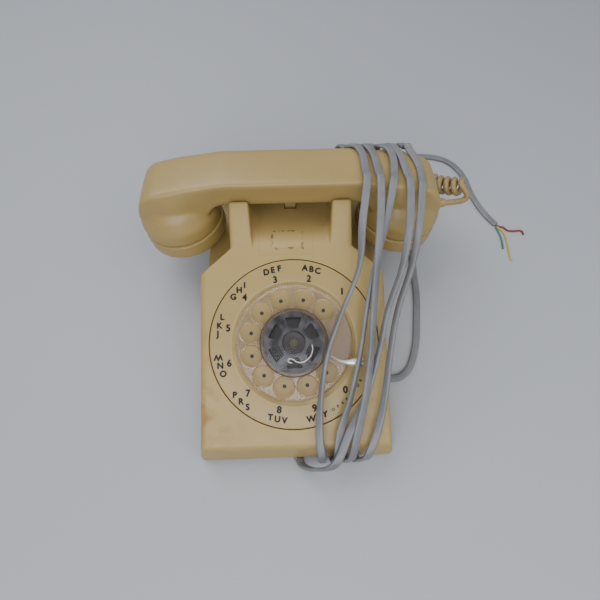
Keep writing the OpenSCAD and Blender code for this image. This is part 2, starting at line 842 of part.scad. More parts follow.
module receiver_unit() {
  color([0.6, 0.6, 0.58]) on_handset() on_cap(-1) {
    translate([0, 0, -cap_h + 4.8]) cylinder(r = cap_r - 5.5, h = cap_h - 4.8 + 6);
    translate([0, 0, 6]) cylinder(r = cap_r - 13, h = 6);
  }
}

module transmitter_unit() {
  color([0.6, 0.6, 0.58]) on_handset() on_cap(1)
    translate([0, 0, -cap_h + 4.8]) cylinder(r = cap_r - 5.5, h = cap_h - 4.8 + 3);
}

module contact_cup() {
  color([0.2, 0.2, 0.2]) on_handset() on_cap(1)
    difference() {
      translate([0, 0, 3.1]) cylinder(r = cap_r - 3.9, h = 1.5);
      translate([0, 0, 3.0]) cylinder(r = 8, h = 4);
    }
}

boot_w = -39;
boot_l = 6;

module handset_boot() {
  color(ivory) on_handset()
    translate([end_w + 0.02, 0, boot_w])
      rotate([0, 90, 0])
        rotate_extrude()
          polygon([[0, 0], [3.8, 0], [3.7, 2], [3, boot_l], [0, boot_l]]);
}

// ---- cords ----

function cross_unit(a, b) = unit(cross(a, b));
function tangent(path, i) = unit(path[min(i + 1, len(path) - 1)] - path[max(i - 1, 0)]);

// Point on a smooth curve through four points, at t from the second to the third
function through(a, b, c, d, t) =
  b + t / 2 * ((c - a) + t * ((2 * a - 5 * b + 4 * c - d) + t * (3 * b - a - 3 * c + d)));

function smooth(points, steps) =
  let (n = len(points))
  [for (i = [0:n - 2]) for (k = [0:steps - 1])
    through(points[max(i - 1, 0)], points[i], points[i + 1], points[min(i + 2, n - 1)], k / steps),
    points[n - 1]];

// Tube along a path, from one ring of offsets [side, up] and a side vector for each point
module tube(path, sides, ring) {
  n = len(path);
  m = len(ring);
  ups = [for (i = [0:n - 1]) cross_unit(sides[i], tangent(path, i))];
  points = [for (i = [0:n - 1]) for (q = ring) path[i] + sides[i] * q[0] + ups[i] * q[1]];
  faces = concat(
    [for (i = [0:n - 2]) for (k = [0:m - 1])
      for (f = [[i * m + k, i * m + (k + 1) % m, (i + 1) * m + k],
                [i * m + (k + 1) % m, (i + 1) * m + (k + 1) % m, (i + 1) * m + k]]) f],
    [for (k = [1:m - 2]) [0, k + 1, k]],
    [for (k = [1:m - 2]) [(n - 1) * m, (n - 1) * m + k, (n - 1) * m + k + 1]]
  );
  polyhedron(points = points, faces = faces);
}

function flat_ring(w, t) = [
  [w / 2, 0], [w / 2 - t * 0.3, t / 2], [-w / 2 + t * 0.3, t / 2],
  [-w / 2, 0], [-w / 2 + t * 0.3, -t / 2], [w / 2 - t * 0.3, -t / 2]
];
function round_ring(d, n) = [for (k = [0:n - 1]) d / 2 * [cos(360 * k / n), sin(360 * k / n)]];
function lying(path, way) = [for (i = [0:len(path) - 1]) cross_unit(tangent(path, i), [0, 0, way])];
function upright(path) = [for (i = [0:len(path) - 1])
  let (t = tangent(path, i)) unit(t * t[0] - [1, 0, 0])];

// Places of the cords are counted from the lower edge of a body of this length, and keep to its upper edge
cord_body_l = 208;
function from_top(p) = p - cord_body_l + half_l;

floor_z = cord_t / 2 + 0.1;
over = cord_t + 0.6;

// Section that every winding follows: [place along the body, height], rear, back of the handset, face, toe
wind_rise = [[214.3, 4.2], [215, 14], [215, 60], [214, 75], [210, 87], [201.5, 93]];
wind_top = [[191.5, 96.4], [182, 97.3], [173, 98], [164, 98.8], [155, 99.3]];
wind_face = [[130, 88], [105, 76], [80, 64], [55, 52.3], [30, 41], [10, 31]];
wind_toe = [[-2.6, 23], [-3.6, 13], [-3.4, 4], [-1, floor_z + 0.1], [4, floor_z]];
wind_under = [[50, floor_z], [104, floor_z], [158, floor_z], [209.5, floor_z]];

// Sideways places of each turn: rise (start and end), top, face, toe and under run end
turn_a = [33, 36, [39, 47, 50, 50, 50], [46, 43, 31.5, 21, 16, 14.5], 17, 54];
turn_b = [54, 52, [55, 66, 70, 69, 67.5], [61, 53, 47, 42, 35, 27.5], 24.5, 62];
turn_e = [62, 63, [66, 80, 86.5, 87, 86], [83.5, 77, 67, 61, 56.5, 51], 39.5, 77];
turn_d = [77, 74, [69, 73, 76, 78, 78.5], [77, 71, 60.5, 53.5, 44.5, 33.5], 1, 44];
turn_c = [44, 44, [46, 56, 58, 58, 58], [57, 54, 51, 48.5, 44, 38.5], 32, 69.5];
turns = [turn_a, turn_b, turn_e, turn_d, turn_c];

// Extra height over the strand below, at the top and along the face
lift_top = [[0, 0, 0, 0, 0], [0, 0, 0, 0, 0], [1, 1, 0.3, 0, 0], [0, 0, 0, 0, 0], [0, 0, 0, 0, 0]];
lift_face = [
  [0, 0, 0, 0, 0, 0], [0, 0, 0, 0, 0, 0], [0, 0, 0, 0, 0, 0], [0, 0, 0, 0, 0, 0.6], [1, 1, 1, 1, 1, 1.2]
];
end_drop = 0.008;

wide_toe = [
  [24, yy(-7.5), 26], [12.5, yy(-9.5), 15], [4, yy(-6), 5], [1.5, yy(-1), floor_z + 0.1], [1, yy(4), floor_z]
];

function blend_to(a, b, t) = a + (b - a) * t;
function back_fall(x) = x > 46 ? end_drop * (x - 46) * (x - 46) / 2 : 0;
function turn_points(k) = let (q = turns[k]) concat(
  [for (i = [0:len(wind_rise) - 1])
    [blend_to(q[0], q[1], i / 5), from_top(wind_rise[i][0]), wind_rise[i][1]]],
  [for (i = [0:len(wind_top) - 1])
    [q[2][i], from_top(wind_top[i][0]), wind_top[i][1] + over * lift_top[k][i] - back_fall(q[2][i])]],
  [for (i = [0:len(wind_face) - 1])
    [q[3][i], yy(wind_face[i][0]), wind_face[i][1] + over * lift_face[k][i]
      - back_fall(q[3][i]) * (wind_face[i][0] / 160)]],
  k == 3 ? wide_toe
    : [for (i = [0:len(wind_toe) - 1])
        [blend_to(q[3][5], q[4], min(1, 0.5 + i / 4)), yy(wind_toe[i][0]), wind_toe[i][1]]],
  [for (i = [0:len(wind_under) - 1])
    [blend_to(q[4], q[5], (wind_under[i][0] - 4) / 209),
      i == 3 ? from_top(wind_under[i][0]) : yy(wind_under[i][0]), wind_under[i][1]]]
);
lead_in = [[33, from_top(222), floor_z], [33, from_top(218), floor_z + 0.6]];
winding_path = concat(lead_in, [for (k = [0:4]) for (q = turn_points(k)) q]);

lead_points = [
  [58, 53], [64, 53], [72, 53], [79, 54.5], [86.5, 62], [93, 79], [97, 100], [100, 120], [101, 140],
  [102, 160], [101, 180], [97, 200], [87, 218], [72, 229], [54, 234], [40, 233], [34, 228], [33, 222]
];
lead_path = [for (q = lead_points) [q[0], from_top(q[1]), floor_z]];
tail_points = [
  [69.5, 205, 0], [70.5, 213, 0.4], [72, 220, 1], [75, 227, 1], [79, 234, 0.6], [86, 246, 0],
  [96, 259, 0], [109, 268, 0], [123, 272, 0], [137, 271, 0], [150, 266, 0], [159, 256, 0],
  [164, 243, 0], [166, 227, 0], [170, 211, 0], [175, 199, 0], [181, 189, 0]
];
tail_path = [for (q = tail_points) [q[0], from_top(q[1]), floor_z + over * q[2]]];
wire_z = wire_d / 2 + 0.2;
red_points = [[181.6, 188.6], [184, 187], [187, 186.4], [190, 183], [194, 182], [202, 182], [203, 178]];
yellow_points = [[181.6, 187.1], [183.6, 184.6], [186, 181.3], [187, 175], [186.4, 165], [185.8, 152]];
green_points = [[180.6, 186.3], [181.4, 183], [182.4, 178], [182.6, 172], [181.6, 164]];

lead_in_x = -30;
lead_in_z = 14;
grommet_r = 4.2;

// Middle line of the curls, from the handset's end round the back to the housing's rear wall
curl_axis = [
  [131, 183, 59], [123, 188, 54.5], [115, 194, 50.5], [107, 200, 50], [98, 204.8, 54], [88, 206.8, 61.5],
  [76, 203.4, 70], [60, 200.4, 71], [44, 199, 69.5], [28, 199, 69], [12, 199, 69], [-4, 199, 69],
  [-20, 199, 69], [-36, 200, 69], [-48, 206, 66], [-56, 214, 56], [-60, 218.6, 44], [-60.5, 219, 31],
  [-57.5, 219.3, 20], [-50, 219.7, 12], [-39, 220, 8.4]
];
curl_rings = 8;
curl_phase = 210;
curl_line = smooth([for (q = curl_axis) [q[0], from_top(q[1]), q[2]]], 6);
curl_last = len(curl_line) - 1;
curl_sums = [for (i = 0, sum = 0; i <= curl_last;
  sum = sum + (i < curl_last ? norm(curl_line[i + 1] - curl_line[i]) : 0), i = i + 1) sum];

// Point of the middle line, and its direction, at the share s of its length
function along(s) = [for (k = [0:2])
  lookup(s * curl_sums[curl_last], [for (i = [0:curl_last]) [curl_sums[i], curl_line[i][k]]])];
function along_way(s) = unit(along(min(1, s + 0.01)) - along(max(0, s - 0.01)));
helix_r = curl_d / 2 - strand_d / 2;
curl_path = [for (i = [0:curls * curl_rings])
  let (s = i / (curls * curl_rings), w = along_way(s))
  let (a = cross_unit(w, [0.2, 0.5, 1]), b = cross(w, a), turn = 360 * i / curl_rings + curl_phase)
  along(s) + helix_r * (a * cos(turn) + b * sin(turn))];
boot_end = [end_w + boot_l + 0.4, yy(handset_p) - 3.4, handset_z - 38.9];
cord_start = smooth([
  boot_end, boot_end + [5.5, 0.6, -0.3],
  [131.2, from_top(174.6), 53.5], [133.6, from_top(176.4), 57.2], curl_path[0]
], 3);
cord_finish = [
  [lead_in_x - 1, from_top(219.5), 9.5], [lead_in_x, from_top(216), 13],
  [lead_in_x, from_top(212), lead_in_z], [lead_in_x, from_top(206.4), lead_in_z]
];
whole_curl = concat([for (i = [0:len(cord_start) - 2]) cord_start[i]], curl_path, cord_finish);

// Side vectors of the curls, square to the path and away from the middle line
function curl_sides(path) = [for (i = [0:len(path) - 1])
  let (t = tangent(path, i))
  let (n0 = max(0, min(curls * curl_rings, i - len(cord_start) + 1)))
  let (c = along(n0 / (curls * curl_rings)))
  let (r = path[i] - c, q = r - t * (r * t)) unit(q)];

// Least distance between two stretches of a path that are more than skip points apart, less its thickness
function least_gap(path, skip, thick) =
  min([for (i = [0:len(path) - 1 - skip]) for (k = [i + skip:len(path) - 1]) norm(path[i] - path[k])]) - thick;
echo(curl_gap = least_gap(whole_curl, 5, strand_d));
echo(winding_gap = least_gap(smooth(winding_path, 4), 12, cord_t));

module handset_cord() {
  color(ivory) tube(whole_curl, curl_sides(whole_curl), round_ring(strand_d, 6));
}

module line_cord_winding() {
  color(grey) tube(winding_path, upright(winding_path), flat_ring(cord_w, cord_t));
}

module line_cord_lead() {
  path = smooth(lead_path, 3);
  color(grey) tube(path, lying(path, 1), flat_ring(cord_w, cord_t));
}

module line_cord_tail() {
  path = smooth(tail_path, 3);
  color(grey) tube(path, lying(path, -1), flat_ring(cord_w, cord_t));
}

module line_conductors() {
  wires = [
    [red_points, [0.35, 0.05, 0.05]], [yellow_points, [0.6, 0.6, 0.1]], [green_points, [0.1, 0.4, 0.35]]
  ];
  for (q = wires) {
    path = smooth([for (p = q[0]) [p[0], from_top(p[1]), wire_z]], 2);
    color(q[1]) tube(path, lying(path, 1), round_ring(wire_d, 8));
  }
}

module handset_grommet() {
  color([0.2, 0.2, 0.2]) translate([lead_in_x, yy(body_l) + 1.2, lead_in_z]) rotate([90, 0, 0])
    difference() {
      union() {
        cylinder(r = grommet_r - 0.05, h = wall + 2.4);
        cylinder(r = grommet_r + 1.4, h = 1.1);
      }
      translate([0, 0, -1]) cylinder(r = strand_d / 2 + 0.2, h = 20);
    }
}

module line_grommet() {
  grommet_l = 5.5;
  color([0.2, 0.2, 0.2])
    translate([lead_points[0][0] - grommet_l - 0.1, from_top(lead_points[0][1]) - 3.6, 0.1])
      cube([grommet_l, 7.2, plate_z - 0.12]);
}

housing();
base_plate();
housing_screws();
network_block();
terminal_screws();
ringer_frame();
ringer_coil();
gong_posts();
low_gong();
high_gong();
clapper();
clapper_pin();
loudness_wheel();
loudness_pin();
hookswitch_frame();
hook_pin();
hook_lever();
hook_spring();
contact_pile();
dial_bracket();
dial_frame();
dial_cover();
number_plate();
finger_stop();
main_shaft();
main_gear();
fingerwheel();
card_holder();
card_spring();
card_window();
hub_screw();
governor_pinion();
governor_cup();
pulse_contacts();
handset_shell();
receiver_cap();
transmitter_cap();
receiver_unit();
transmitter_unit();
contact_cup();
handset_boot();
handset_cord();
handset_grommet();
line_grommet();
line_cord_lead();
line_cord_winding();
line_cord_tail();
line_conductors();
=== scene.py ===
# %% [markdown]
# # A rotary wall telephone, lying on its back with its line cord wound round it
#
# Everything is in one frame: +X right, +Y towards the telephone's top, +Z up out of the wall plate.
# Lengths are written in millimetres and become metres only when a mesh is made. Places along the body
# are counted from its bottom edge, and along() turns them into Y.

# %% Load the CAD frame
"""A rotary wall telephone, made on top of its CAD solids.

Formulas used, in words:
  a ring of a revolved form   = (radius times cosine, radius times sine, height), for every angle
  a point of a swept cord     = middle line + side vector times width + up vector times thickness
  a softened corner           = a parabola that leaves and meets both edges at the same distance
  a point of the curled cord  = middle line + radius times (cosine times one normal + sine times the other)
  height of the sloping face  = height of the bottom edge + tangent of the slope times the distance from it
"""
import math

import bmesh
import bpy
import numpy as np
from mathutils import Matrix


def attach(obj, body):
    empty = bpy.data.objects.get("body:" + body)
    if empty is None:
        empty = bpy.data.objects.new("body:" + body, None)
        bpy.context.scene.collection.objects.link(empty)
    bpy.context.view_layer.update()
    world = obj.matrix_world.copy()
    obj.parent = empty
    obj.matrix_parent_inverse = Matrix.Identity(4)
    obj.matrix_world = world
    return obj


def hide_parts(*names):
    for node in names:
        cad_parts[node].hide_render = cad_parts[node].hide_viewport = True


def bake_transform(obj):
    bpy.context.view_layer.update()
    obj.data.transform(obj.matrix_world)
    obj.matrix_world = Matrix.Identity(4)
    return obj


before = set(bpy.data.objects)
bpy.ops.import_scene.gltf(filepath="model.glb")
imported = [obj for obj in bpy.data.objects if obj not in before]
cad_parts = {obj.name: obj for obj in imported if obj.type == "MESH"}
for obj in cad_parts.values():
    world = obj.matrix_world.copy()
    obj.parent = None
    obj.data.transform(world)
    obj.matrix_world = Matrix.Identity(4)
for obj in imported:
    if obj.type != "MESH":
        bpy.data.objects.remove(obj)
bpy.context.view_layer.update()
MM = 0.001
BODY_L = 208.0
FACE_TILT = math.radians(20.5)
TOE_H = 22.5
TOE_LEAN = 3.2
DIAL_P = 66.0


def along(p):
    """Y of a place that is p from the body's bottom edge."""
    return p - BODY_L / 2


def face_height(p):
    """Height of the sloping face: bottom edge's height + tangent of the slope * distance from that edge."""
    return TOE_H + math.tan(FACE_TILT) * (p - TOE_LEAN)

# %% [markdown]
# ## The camera
# It looks down at the telephone from beyond its bottom edge, 63 degrees below the horizontal.

# %% Camera
CAMERA_AT = (0.76, -140.4, 310.9)
CAMERA_TILT, CAMERA_TURN = 26.8, -1.8
LENS, SENSOR_W, NEAR_CLIP = 25.8, 36.0, 10.0
camera_data = bpy.data.cameras.new("camera")
camera_data.lens = LENS
camera_data.sensor_width = SENSOR_W
camera_data.clip_start = NEAR_CLIP * MM
camera = bpy.data.objects.new("camera", camera_data)
camera.location = [c * MM for c in CAMERA_AT]
camera.rotation_euler = (math.radians(CAMERA_TILT), 0, math.radians(CAMERA_TURN))
bpy.context.scene.collection.objects.link(camera)
bpy.context.scene.camera = camera
print("camera at", tuple(camera.location))

# %% [markdown]
# ## Tools for surfaces
# Every surface is a grid of points that numpy computes at once. A grid's faces are four indices each:
# a point, its neighbour in the row, and the same two in the next row.

# %% Grids and meshes
def grid_faces(rows, cols, close_rows=False, close_cols=False):
    """Four-cornered faces of a grid; a closed direction joins its last points to its first."""
    i = np.arange(rows if close_rows else rows - 1)[:, None]
    j = np.arange(cols if close_cols else cols - 1)[None, :]
    k, m = (i + 1) % rows, (j + 1) % cols
    return np.stack([i * cols + j, i * cols + m, k * cols + m, k * cols + j], -1).reshape(-1, 4)


def tube_faces(rows, cols):
    """Faces of a tube made of rings, with one face across each end."""
    faces = grid_faces(rows, cols, False, True).tolist()
    return faces + [list(range(cols))[::-1], list(range((rows - 1) * cols, rows * cols))]


def add_mesh(name, points, faces, smooth=True):
    """An object from points in millimetres and a list of faces."""
    mesh = bpy.data.meshes.new(name)
    mesh.from_pydata((np.asarray(points, float).reshape(-1, 3) * MM).tolist(), [], [list(f) for f in faces])
    mesh.update()
    obj = bpy.data.objects.new(name, mesh)
    bpy.context.scene.collection.objects.link(obj)
    mesh.polygons.foreach_set("use_smooth", np.full(len(mesh.polygons), smooth))
    return obj


print("a grid of 3 by 4 points has", len(grid_faces(3, 4)), "faces")

# %% [markdown]
# A mesh is then finished: its points are welded, its edges sharpened, other meshes cut out of it, or
# several joined into one.

# %% Finishing meshes
def weld(obj, distance=0.002):
    """Join points that coincide, unless distance is 0, and turn all faces outwards."""
    work = bmesh.new()
    work.from_mesh(obj.data)
    if distance:
        bmesh.ops.remove_doubles(work, verts=work.verts, dist=distance * MM)
    bmesh.ops.recalc_face_normals(work, faces=work.faces)
    work.to_mesh(obj.data)
    work.free()
    return obj


def sharpen(obj, degrees=38):
    """Shade obj smooth, with hard edges where two faces meet at more than the angle."""
    obj.data.polygons.foreach_set("use_smooth", np.ones(len(obj.data.polygons), bool))
    obj.data.set_sharp_from_angle(angle=math.radians(degrees))
    obj.data.update()
    return obj


def settle(obj):
    """Apply the object's modifiers to its mesh."""
    graph = bpy.context.evaluated_depsgraph_get()
    made = bpy.data.meshes.new_from_object(obj.evaluated_get(graph))
    old = obj.data
    obj.modifiers.clear()
    obj.data = made
    made.name = obj.name
    bpy.data.meshes.remove(old)
    return obj


def cut(obj, *tools):
    """Take the tools away from obj, and delete them."""
    for tool in tools:
        step = obj.modifiers.new("cut", "BOOLEAN")
        step.operation = "DIFFERENCE"
        step.solver = "EXACT"
        step.object = tool
    settle(obj)
    for tool in tools:
        bpy.data.objects.remove(tool)
    return obj


def mesh_data(mesh):
    """Points and faces of a mesh, in its own units."""
    points = np.empty(len(mesh.vertices) * 3)
    mesh.vertices.foreach_get("co", points)
    return points.reshape(-1, 3), [list(face.vertices) for face in mesh.polygons]


def merged(pieces):
    """Points and faces of several such pairs, as one pair."""
    starts = np.cumsum([0] + [len(points) for points, _ in pieces]).tolist()
    faces = [[start + v for v in face] for (_, some), start in zip(pieces, starts) for face in some]
    return np.concatenate([points for points, _ in pieces]), faces


def join(name, parts):
    """One object from several."""
    points, faces = merged([mesh_data(part.data) for part in parts])
    for part in parts:
        bpy.data.objects.remove(part)
    return add_mesh(name, points / MM, faces)


print("two triangles, merged:", merged([(np.zeros((3, 3)), [[0, 1, 2]])] * 2)[1])

# %% [markdown]
# Round forms are turned about an axis, put down in a slanting frame, or drawn as outlines with arcs.

# %% Round forms and outlines
def full_turn(sides):
    """Angles of equal steps round a circle."""
    return np.arange(sides) * 2 * np.pi / sides


def revolve(name, profile, place, sides=96, closed=False):
    """Lathed form whose points are radius * cosine, radius * sine and height for every angle, moved by the
    function place. The profile is pairs of radius and height; closed joins its last point to its first."""
    angle = full_turn(sides)
    r, z = (np.asarray(profile, float)[:, k, None] for k in (0, 1))
    rings = np.stack([r * np.cos(angle), r * np.sin(angle), z + 0 * angle], -1)
    return weld(add_mesh(name, place(rings), grid_faces(len(profile), sides, closed, True)))


def polar(radius, degrees, height=0.0):
    """Point in the dial's frame at a radius and an angle from +X."""
    angle = math.radians(degrees)
    return np.array([radius * math.cos(angle), radius * math.sin(angle), height])


def turned(points, axis, angle):
    """Points turned about the X, Y or Z axis by angle in radians."""
    a, b = {"x": (1, 2), "y": (2, 0), "z": (0, 1)}[axis]
    out = np.array(points, float)
    u, v = out[..., a].copy(), out[..., b].copy()
    out[..., a] = u * math.cos(angle) - v * math.sin(angle)
    out[..., b] = u * math.sin(angle) + v * math.cos(angle)
    return out


def on_face(points):
    """From the dial's frame, with Z square to the sloping face, to the telephone's."""
    return turned(points, "x", FACE_TILT) + np.array([0, along(DIAL_P), face_height(DIAL_P)])


NEARLY_STRAIGHT = 1.57


def rounded(corners, steps=6):
    """Outline whose corners (a, b, radius) are rounded by arcs; the first and last stay as they are."""
    corners = np.asarray(corners, float)
    line = [corners[0, :2]]
    for before, here, after in zip(corners, corners[1:], corners[2:]):
        u, v = before[:2] - here[:2], after[:2] - here[:2]
        u, v = u / np.linalg.norm(u), v / np.linalg.norm(v)
        half = math.acos(np.clip(u @ v, -1, 1)) / 2
        if here[2] == 0 or half > NEARLY_STRAIGHT:
            line.append(here[:2])
            continue
        middle = here[:2] + (u + v) / np.linalg.norm(u + v) * here[2] / math.sin(half)
        first = here[:2] + u * here[2] / math.tan(half) - middle
        last = here[:2] + v * here[2] / math.tan(half) - middle
        start = math.atan2(first[1], first[0])
        sweep = math.atan2(first[0] * last[1] - first[1] * last[0], first @ last)
        for t in np.linspace(0, 1, steps):
            line.append(middle + here[2] * np.array([math.cos(start + sweep * t), math.sin(start + sweep * t)]))
    line.append(corners[-1, :2])
    return np.array(line)


def refine(line, spacing):
    """The same polyline with no step longer than spacing."""
    out = [line[:1]]
    for a, b in zip(line, line[1:]):
        n = max(1, int(math.ceil(np.linalg.norm(b - a) / spacing)))
        out.append(a + (b - a) * (np.arange(1, n + 1)[:, None] / n))
    return np.concatenate(out)


print("middle of the dial in mm:", on_face(np.zeros((1, 3)))[0].round(1))

# %% [markdown]
# ## The cords
# A cord is its middle line and a cross-section carried along it. The flat cord keeps its broad side
# against what it lies on: across the body where it is wound round it, level where it lies on the table.

# %% Cord tools
OVAL_POWER = 0.62
GROOVE_DEPTH, GROOVE_W = 0.17, 0.42
LINE_DEPTH, LINE_AT, LINE_W = 0.05, 1.55, 0.25


def smooth_line(points, steps):
    """Catmull-Rom curve through the points."""
    p = np.asarray(points, float)
    q = np.concatenate([p[:1], p, p[-1:]])
    a, b, c, d = q[:-3, None], q[1:-2, None], q[2:-1, None], q[3:, None]
    t = (np.arange(steps) / steps)[None, :, None]
    curve = b + t / 2 * ((c - a) + t * ((2 * a - 5 * b + 4 * c - d) + t * (3 * b - a - 3 * c + d)))
    return np.concatenate([curve.reshape(-1, 3), p[-1:]])


def unit_rows(v):
    """Each vector divided by its length."""
    return v / np.linalg.norm(v, axis=-1, keepdims=True)


def tangents(line):
    """Unit direction of a line at each point, from its neighbour before to its neighbour after."""
    return unit_rows(np.gradient(line, axis=0))


def across(v, way):
    """Unit vectors of v without their part along way."""
    return unit_rows(v - way * np.sum(v * way, 1, keepdims=True))


def sweep(name, line, side, ring):
    """Tube along line; side is a vector at each point, and ring the cross-section along side and up."""
    side = across(side, tangents(line))
    up = np.cross(side, tangents(line))
    points = line[:, None] + side[:, None] * ring[None, :, :1] + up[:, None] * ring[None, :, 1:]
    return weld(add_mesh(name, points, tube_faces(len(line), len(ring))), 0)


def line_length(line):
    """Sum of the distances between neighbours."""
    return float(np.linalg.norm(np.diff(line, axis=0), axis=1).sum())


def round_ring(diameter, sides):
    """Circle as a cross-section: radius times cosine and sine."""
    a = full_turn(sides)
    return diameter / 2 * np.stack([np.cos(a), np.sin(a)], 1)


def grooved_ring(width, thick, sides=30):
    """Flat oval: half its width and thickness times a power of cosine and sine. A broad groove and two fine
    lines make both broad sides thinner."""
    a = full_turn(sides)
    x = width / 2 * np.sign(np.cos(a)) * np.abs(np.cos(a)) ** OVAL_POWER
    y = thick / 2 * np.sign(np.sin(a)) * np.abs(np.sin(a)) ** OVAL_POWER
    groove = GROOVE_DEPTH * np.exp(-((x / GROOVE_W) ** 2))
    lines = LINE_DEPTH * np.exp(-(((np.abs(x) - LINE_AT) / LINE_W) ** 2))
    return np.stack([x, y * (1 - groove - lines)], 1)


print("length of a line of 3 and 4 mm:", line_length(np.array([[0, 0, 0], [3, 0, 0], [3, 4, 0]])))

# %% [markdown]
# The line cord leaves the right side at the bottom, lies on the table round the right end of the handset,
# and goes five times round the telephone: up its rear side, over the handset's back, down the face, round
# the bottom edge and back underneath. Its end lies on the table to the right.


# %% Stations of the line cord
CORD_W, CORD_T = 5.2, 2.6
FLOOR = CORD_T / 2 + 0.1
OVER = CORD_T + 0.6
# Places along the body and heights that all turns share; RISE_OUT points away from the body
RISE = np.array([
    [214.5, 4.2], [215.3, 14], [215.3, 50], [215, 62], [212.8, 71],
    [207.6, 78.6], [200.6, 84.2], [194.8, 87.8], [192.6, 92.1]])
RISE_OUT = np.array([
    [1, 0], [1, 0], [1, 0], [0.98, 0.2], [0.9, 0.4], [0.75, 0.66], [0.7, 0.7], [0.75, 0.66], [0.7, 0.7]])
TOP = np.array([[189.5, 95.5], [182, 96.5], [173, 97.3], [164, 98.1], [155, 98.9]])
FACE = np.array([[130, 88], [105, 76], [80, 64], [55, 52.3], [30, 41], [10, 31]])
TOE_P, UNDER_L = 4, 209
TOE = np.array([[-2.6, 23], [-3.6, 13], [-3.4, 4], [-1, FLOOR + 0.1], [TOE_P, FLOOR]])
TOE_SHARE = np.array([0.5, 0.75, 1, 1, 1])
UNDER = np.array([[50, FLOOR], [104, FLOOR], [158, FLOOR], [209.5, FLOOR]])
# Sideways places of each turn: at the start and end of its rise, over the top, down the face, at the toe
# and at the end of its run underneath; then how many strands it is lifted over, down the face
TURNS = [
    (33, 42, [46.5, 49.5, 50, 50, 50], [46, 43, 31.5, 21, 16, 14.5], 17, 54, [0] * 6),
    (54, 63, [68, 70.3, 70.3, 69, 67.5], [61, 53, 47, 42, 35, 27.5], 24.5, 62, [0] * 6),
    (62, 82.5, [85, 87.5, 89, 88.5, 87.5], [83.5, 77, 67, 61, 56.5, 51], 39.5, 77, [0] * 6),
    (77, 71.5, [74, 76.6, 77.5, 78.5, 79], [77, 71, 60.5, 53.5, 44.5, 33.5], 1, 44, [0] * 5 + [0.6]),
    (44, 51, [54, 57, 58, 58.5, 59], [57, 54, 51, 48.5, 44, 38.5], 32, 69.5, [1] * 5 + [1.2]),
]
# The third turn slants across the fourth low down behind the body, lifted over it there
SLANT_TURN, SLANT_SHARE = 2, np.array([0, 0.4, 0.8, 1, 1, 1, 1, 1, 1])
SLANT_LIFT = np.array([0.3, 1, 1, 0.4, 0, 0, 0, 0, 0])
# The fourth turn swings wide round the toe
WIDE_TURN = 3
WIDE_TOE = [[24, -7.5, 26], [12.5, -9.5, 15], [4, -6, 5], [1.5, -1, FLOOR + 0.1], [1, TOE_P, FLOOR]]
BACK_FLAT, BACK_BEND, BACK_FALL_P = 46, 0.008, 160


def back_fall(x):
    """How far the handset's back has fallen at x: half its bend times the square of the way past its flat."""
    x = np.asarray(x, float)
    return np.where(x > BACK_FLAT, BACK_BEND * (x - BACK_FLAT) ** 2 / 2, 0)


def one_turn(k):
    """Stations of a turn: up the rear, over the handset, down the face, round the toe, back underneath."""
    start, end, top, face, toe, under, strands = TURNS[k]
    top, face = np.array(top, float), np.array(face, float)
    slanted = k == SLANT_TURN
    sideways = SLANT_SHARE if slanted else np.linspace(0, 1, len(RISE))
    raised = OVER * SLANT_LIFT[:, None] * RISE_OUT if slanted else 0
    rise = np.column_stack([start + (end - start) * sideways, RISE + raised])
    over = np.column_stack([top, TOP[:, 0], TOP[:, 1] - back_fall(top)])
    down = np.column_stack([
        face, FACE[:, 0], FACE[:, 1] + OVER * np.array(strands) - back_fall(face) * FACE[:, 0] / BACK_FALL_P])
    foot = np.column_stack([face[-1] + (toe - face[-1]) * TOE_SHARE, TOE])
    if k == WIDE_TURN:
        foot = np.array(WIDE_TOE)
    back = np.column_stack([toe + (under - toe) * (UNDER[:, 0] - TOE_P) / UNDER_L, UNDER])
    return np.concatenate([rise, over, down, foot, back])


print("stations in a turn:", len(one_turn(0)))

# %% [markdown]
# A lead on the table comes before the turns and a tail after them; the tail's third number says how many
# strands it lies over. One smooth curve goes through all the stations.

# %% Line cord
LEAD = np.array([
    [58, 53], [64, 53], [72, 53], [79, 54.5], [86.5, 62], [93, 79], [97, 100], [100, 120], [101, 140],
    [102, 160], [101, 180], [97, 200], [87, 218], [72, 229], [54, 234], [40, 233], [34, 228], [33, 222]], float)
TAIL = np.array([
    [69.5, 213, 0.4], [72, 220, 1], [75, 227, 1], [79, 234, 0.6], [86, 246, 0],
    [96, 259, 0], [109, 268, 0], [123, 272, 0], [137, 271, 0], [150, 266, 0], [159, 256, 0],
    [164, 243, 0], [166, 227, 0], [170, 211, 0], [175, 199, 0], [181, 189, 0]], float)
CORD_STEPS = 6
# Turn of the flat strand about its own line as it hangs down the face: degrees for each turn, and the
# share of them at each station
TWISTS = [84, -68, 70, 76, -40]
TWIST_SHARE = np.array([0.3, 0.9, 1, 1, 0.8, 0.3])
lead = np.column_stack([LEAD, np.full(len(LEAD), FLOOR)])
winding = np.concatenate([[[33, 218, FLOOR + 0.6]]] + [one_turn(k) for k in range(len(TURNS))])
tail = np.column_stack([TAIL[:, :2], FLOOR + OVER * TAIL[:, 2]])
stations = np.concatenate([lead, winding, tail])
cord_line = smooth_line(stations, CORD_STEPS)
cord_line[:, 1] = along(cord_line[:, 1])
ways = tangents(cord_line)
lead_end, tail_start = len(lead) * CORD_STEPS, (len(lead) + len(winding) - 1) * CORD_STEPS
cord_side = np.tile([-1.0, 0, 0], (len(cord_line), 1))
cord_side[:lead_end] = np.cross(ways[:lead_end], [0, 0, 1])
cord_side[tail_start:] = np.cross(ways[tail_start:], [0, 0, -1])
face_start = len(lead) + 1 + len(RISE) + len(TOP)
twist = np.zeros(len(stations))
for k, degrees in enumerate(TWISTS):
    first = face_start + k * len(one_turn(k))
    twist[first:first + len(FACE)] = np.radians(degrees) * TWIST_SHARE
twist = np.interp(np.arange(len(cord_line)) / CORD_STEPS, np.arange(len(stations)), twist)[:, None]
